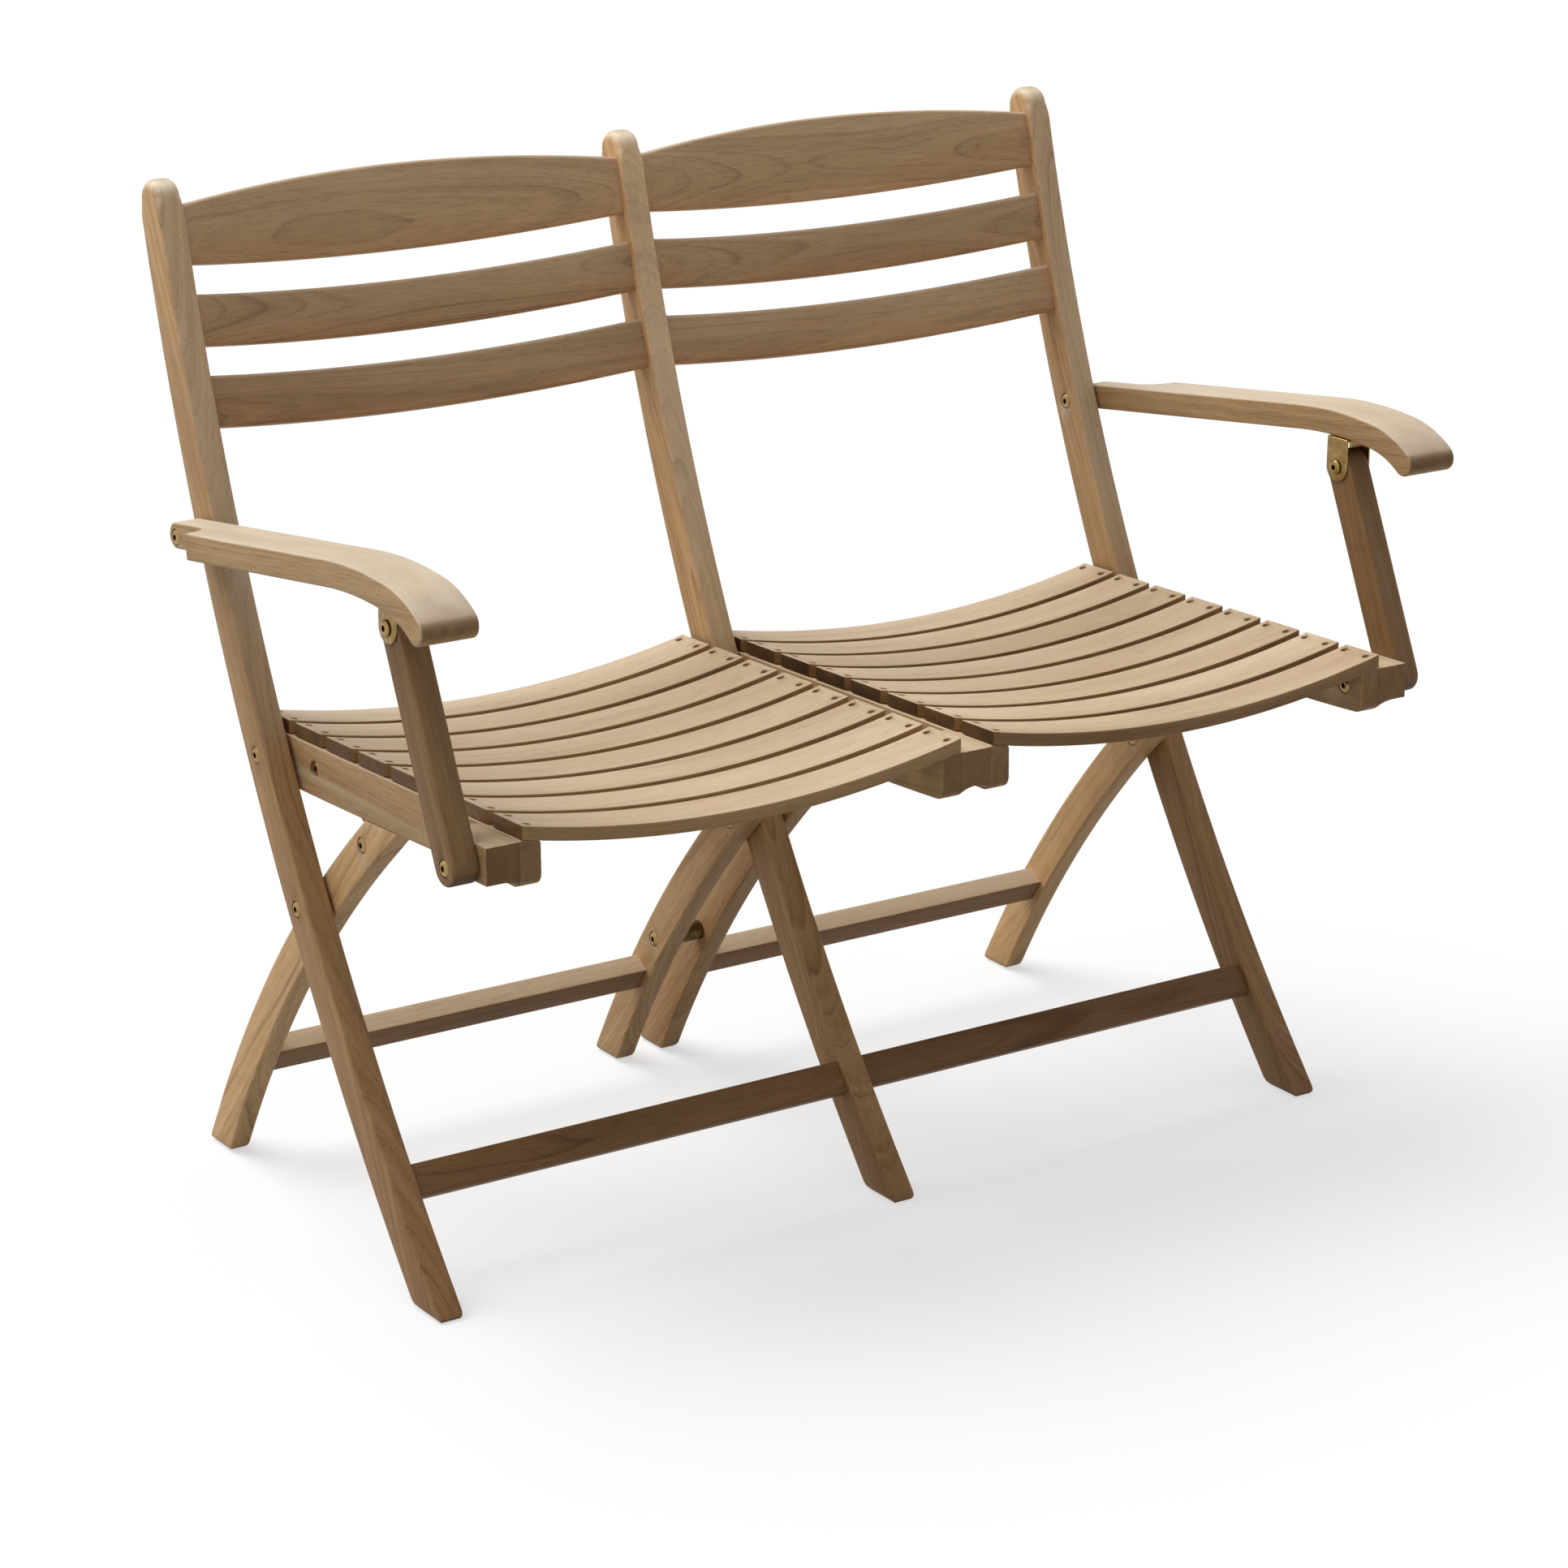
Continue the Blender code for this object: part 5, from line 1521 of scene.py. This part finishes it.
class BENCH_OT_bolts(bpy.types.Operator):
    """The brass bolts, sleeve nuts and washers of the pivots"""
    bl_idname = "bench.bolts"
    bl_label = "Pivot bolts"

    def execute(self, context):
        pivots = (("seat", SEAT_PIVOT, RAIL_THICKNESS), ("leg", LEG_PIVOT, LEG_THICKNESS))
        for side_name, side in SIDES.items():
            for kind, place, thickness in pivots:
                pivot_bolt(
                    f"{side_name}_{kind}_pivot_bolt", place,
                    (side * POST_OUTER_FACE, side * (BAY_OUTER - thickness)),
                    washer(side * POST_INNER_FACE, side * BAY_OUTER))
            pivot_bolt(
                side_name + "_arm_pivot_bolt", ARM_PIVOT,
                (side * POST_INNER_FACE, side * (ARM_INNER + ARM_TONGUE_WIDTH)),
                washer(side * POST_OUTER_FACE, side * ARM_INNER))
            make_bolt(side_name + "_support_bolt", "seat", SUPPORT_PIVOT,
                      (side * (BAY_OUTER - RAIL_THICKNESS), side * SUPPORT_OUTER))
        for kind, place, thickness in pivots:
            reach = BAY_INNER + thickness
            pivot_bolt(
                f"middle_{kind}_pivot_bolt", place, (-reach, reach),
                washer(-BAY_INNER, -POST_HALF), washer(POST_HALF, BAY_INNER))
        reach = BAY_INNER + LEG_THICKNESS
        spacer = (GAP - BAY_INNER, BAY_INNER - GAP, TIE_SPACER_RADIUS, SPACER_DULLNESS)
        make_bolt("leg_tie_bolt_brass", "rear_legs", TIE_BOLT, (-reach, reach), collars=[spacer],
                  nodes=["leg_tie_bolt"])
        for name, (plane, way) in BAY_PLANES.items():
            work = metal()
            seat = bolt_head(work, LEG_BOLT, plane, way)
            rod(work, seat, plane + way * LEG_THICKNESS, SHANK_RADIUS, LEG_BOLT, SHANK_SIDES)
            brass(name + "_leg_bolt", work, "rear_legs")
        return {"FINISHED"}


class BENCH_OT_links(bpy.types.Operator):
    """The brass links from the rails to the tops of the rear legs"""
    bl_idname = "bench.links"
    bl_label = "Links"

    def execute(self, context):
        for name, (plane, way) in BAY_PLANES.items():
            near = plane + way * LINK_FACE
            far = near + way * LINK_THICKNESS
            work = bar((near + far) / 2, LINK_PIVOT, LEG_BOLT, LINK_WIDTH, LINK_THICKNESS, LINK_ARRIS)
            brass(name + "_link_brass", work, "links", name + "_link", dullness=BRASS_DULLNESS)
            make_bolt(name + "_link_bolt", "links", LINK_PIVOT, (plane, far), sunk=(LINK_HEAD_SUNK, 0))
            work = metal()
            bolt_head(work, LEG_BOLT, far, -way, 0)
            brass(name + "_link_nut", work, "links")
        return {"FINISHED"}


def bracket_frame():
    """The bracket's forward and upward ways, square to the arm over its pivot, and its height."""
    point, slope = arm_place((ARM_PIVOT - BRACKET_PIVOT).x / math.cos(ARM_RISE))
    forward, upward = slope_ways(slope)
    bend_sag = (BRACKET_WIDTH / 2) ** 2 / 2 / ARM_BEND_RADIUS
    height = (point - BRACKET_PIVOT).dot(upward) - ARM_THICKNESS / 2 - bend_sag - GAP
    return forward, upward, height


class BENCH_OT_brackets(bpy.types.Operator):
    """The brass U brackets under the arms, each with its bolt"""
    bl_idname = "bench.brackets"
    bl_label = "Arm brackets"

    def execute(self, context):
        half = BRACKET_WIDTH / 2
        forward, upward, height = bracket_frame()
        angle = angle_of(forward)
        outline = arc_points(BRACKET_PIVOT, half, angle, angle + math.pi, BRACKET_STEPS)
        outline += [BRACKET_PIVOT + forward * ahead + upward * height for ahead in (-half, half)]
        reach = half + BRACKET_SLOT_REACH
        top = height - BRACKET_PLATE
        slot = [(reach, -reach), (-reach, -reach), (-reach, top), (reach, top)]
        slot = [BRACKET_PIVOT + forward * ahead + upward * above for ahead, above in slot]
        for side_name, side in SIDES.items():
            faces = [side * x for x in (BRACKET_INNER, BRACKET_OUTER)]
            work = board([(x, outline) for x in faces], BRACKET_ARRIS)
            inside = [side * x for x in (BRACKET_INNER + BRACKET_PLATE, BRACKET_OUTER - BRACKET_PLATE)]
            cutter = board([(x, slot) for x in inside], BRACKET_INNER_ARRIS)
            brass(side_name + "_bracket_brass", work, side_name + "_arm", side_name + "_bracket",
                  dullness=BRACKET_DULLNESS, cutter=cutter)
            make_bolt(side_name + "_bracket_bolt", side_name + "_arm", BRACKET_PIVOT, faces, sunk=(0, 0))
        return {"FINISHED"}


# Stage

def backdrop_share(nodes):
    """One for the rays that see the background: the camera's, and reflected and refracted ones."""
    rays = nodes.add("LightPath").outputs
    seen = nodes.math("MAXIMUM", rays["Is Camera Ray"], rays["Is Glossy Ray"])
    return nodes.math("MAXIMUM", seen, rays["Is Transmission Ray"])


def add_key():
    """A broad soft light, as even as a large softbox far off."""
    lamp = bpy.data.lights.new("key", "SUN")
    lamp.angle = KEY_WIDTH
    lamp.energy = KEY_STRENGTH
    linked("key", lamp).rotation_euler = Vector(KEY_WAY).to_track_quat("Z", "Y").to_euler()


def make_floor():
    """A floor that is grey to the lamp and the timber, and near white to the camera."""
    work = bmesh.new()
    bmesh.ops.create_grid(work, x_segments=1, y_segments=1, size=FLOOR_SIZE)
    floor = to_object("floor", work)
    floor.location.z = -FLOOR_DROP
    material, nodes = start_material("floor")
    plain = nodes.add("BsdfDiffuse", {"Color": (FLOOR_GREY, FLOOR_GREY, FLOOR_GREY, 1)})
    seen = nodes.add("BsdfDiffuse", {"Color": (FLOOR_SEEN_GREY, FLOOR_SEEN_GREY, FLOOR_SEEN_GREY, 1)})
    glow = nodes.add("Emission", {"Color": WHITE, "Strength": FLOOR_GLOW})
    both = nodes.add("AddShader", {0: seen.outputs[0], 1: glow.outputs[0]})
    mixed = nodes.add("MixShader", {0: backdrop_share(nodes), 1: plain.outputs[0], 2: both.outputs[0]})
    nodes.add("OutputMaterial", {"Surface": mixed.outputs[0]})
    floor.data.materials.append(material)


def make_world():
    world = bpy.data.worlds.new("studio")
    world.use_nodes = True
    bpy.context.scene.world = world
    nodes = Nodes(world.node_tree)
    fill = nodes.add("Background", {"Color": WHITE, "Strength": WORLD_FILL})
    white = nodes.add("Background", {"Color": WHITE, "Strength": 1.0})
    mixed = nodes.add("MixShader", {0: backdrop_share(nodes), 1: fill.outputs[0], 2: white.outputs[0]})
    nodes.add("OutputWorld", {"Surface": mixed.outputs[0]})


def make_camera():
    lens = bpy.data.cameras.new("camera")
    lens.sensor_fit = "HORIZONTAL"
    lens.sensor_width = SENSOR
    lens.lens = FOCAL_PIXELS * SENSOR / PICTURE_PIXELS
    lens.clip_start, lens.clip_end = CAMERA_REACH
    camera = linked("camera", lens)
    flat = Vector((math.sin(CAMERA_YAW), -math.cos(CAMERA_YAW), 0))
    back = flat * math.cos(CAMERA_PITCH) + UP * math.sin(CAMERA_PITCH)
    level = Vector((math.cos(CAMERA_YAW), math.sin(CAMERA_YAW), 0))
    upright = back.cross(level)
    right = level * math.cos(CAMERA_ROLL) + upright * math.sin(CAMERA_ROLL)
    upward = upright * math.cos(CAMERA_ROLL) - level * math.sin(CAMERA_ROLL)
    turn = camera.matrix_world.to_3x3()
    for column, axis in enumerate((right, upward, back)):
        turn.col[column] = axis
    camera.rotation_euler = turn.to_euler()
    camera.location = CAMERA_PLACE
    bpy.context.scene.camera = camera


class BENCH_OT_stage(bpy.types.Operator):
    """The pale floor, the soft studio light and the camera"""
    bl_idname = "bench.stage"
    bl_label = "Stage"

    def execute(self, context):
        context.scene.view_settings.view_transform = "Standard"
        make_camera()
        make_world()
        make_floor()
        add_key()
        return {"FINISHED"}


PIECE_OPERATORS = (
    BENCH_OT_posts, BENCH_OT_stretchers, BENCH_OT_back_slats, BENCH_OT_rails, BENCH_OT_slats,
    BENCH_OT_screws, BENCH_OT_blocks, BENCH_OT_legs, BENCH_OT_arms, BENCH_OT_supports, BENCH_OT_bolts,
    BENCH_OT_links, BENCH_OT_brackets, BENCH_OT_stage,
)


class BENCH_PT_panel(bpy.types.Panel):
    """Lists the bench's pieces, sizes and finish"""
    bl_label = "Garden bench"
    bl_idname = "BENCH_PT_panel"
    bl_space_type = "VIEW_3D"
    bl_region_type = "UI"
    bl_category = "Bench"

    def draw(self, context):
        for group in (context.scene.bench_sizes, context.scene.bench_finish):
            box = self.layout.box()
            for key in group.__annotations__:
                box.prop(group, key)
        for operator in PIECE_OPERATORS:
            self.layout.operator(operator.bl_idname)


CLASSES = (BenchSizes, BenchFinish, *PIECE_OPERATORS, BENCH_PT_panel)


def register():
    for made in CLASSES:
        bpy.utils.register_class(made)
    bpy.types.Scene.bench_sizes = PointerProperty(type=BenchSizes)
    bpy.types.Scene.bench_finish = PointerProperty(type=BenchFinish)


def unregister():
    del bpy.types.Scene.bench_finish
    del bpy.types.Scene.bench_sizes
    for made in reversed(CLASSES):
        bpy.utils.unregister_class(made)


def main():
    register()
    for operator in PIECE_OPERATORS:
        group, name = operator.bl_idname.split(".")
        getattr(getattr(bpy.ops, group), name)()


if __name__ == "__main__":
    main()
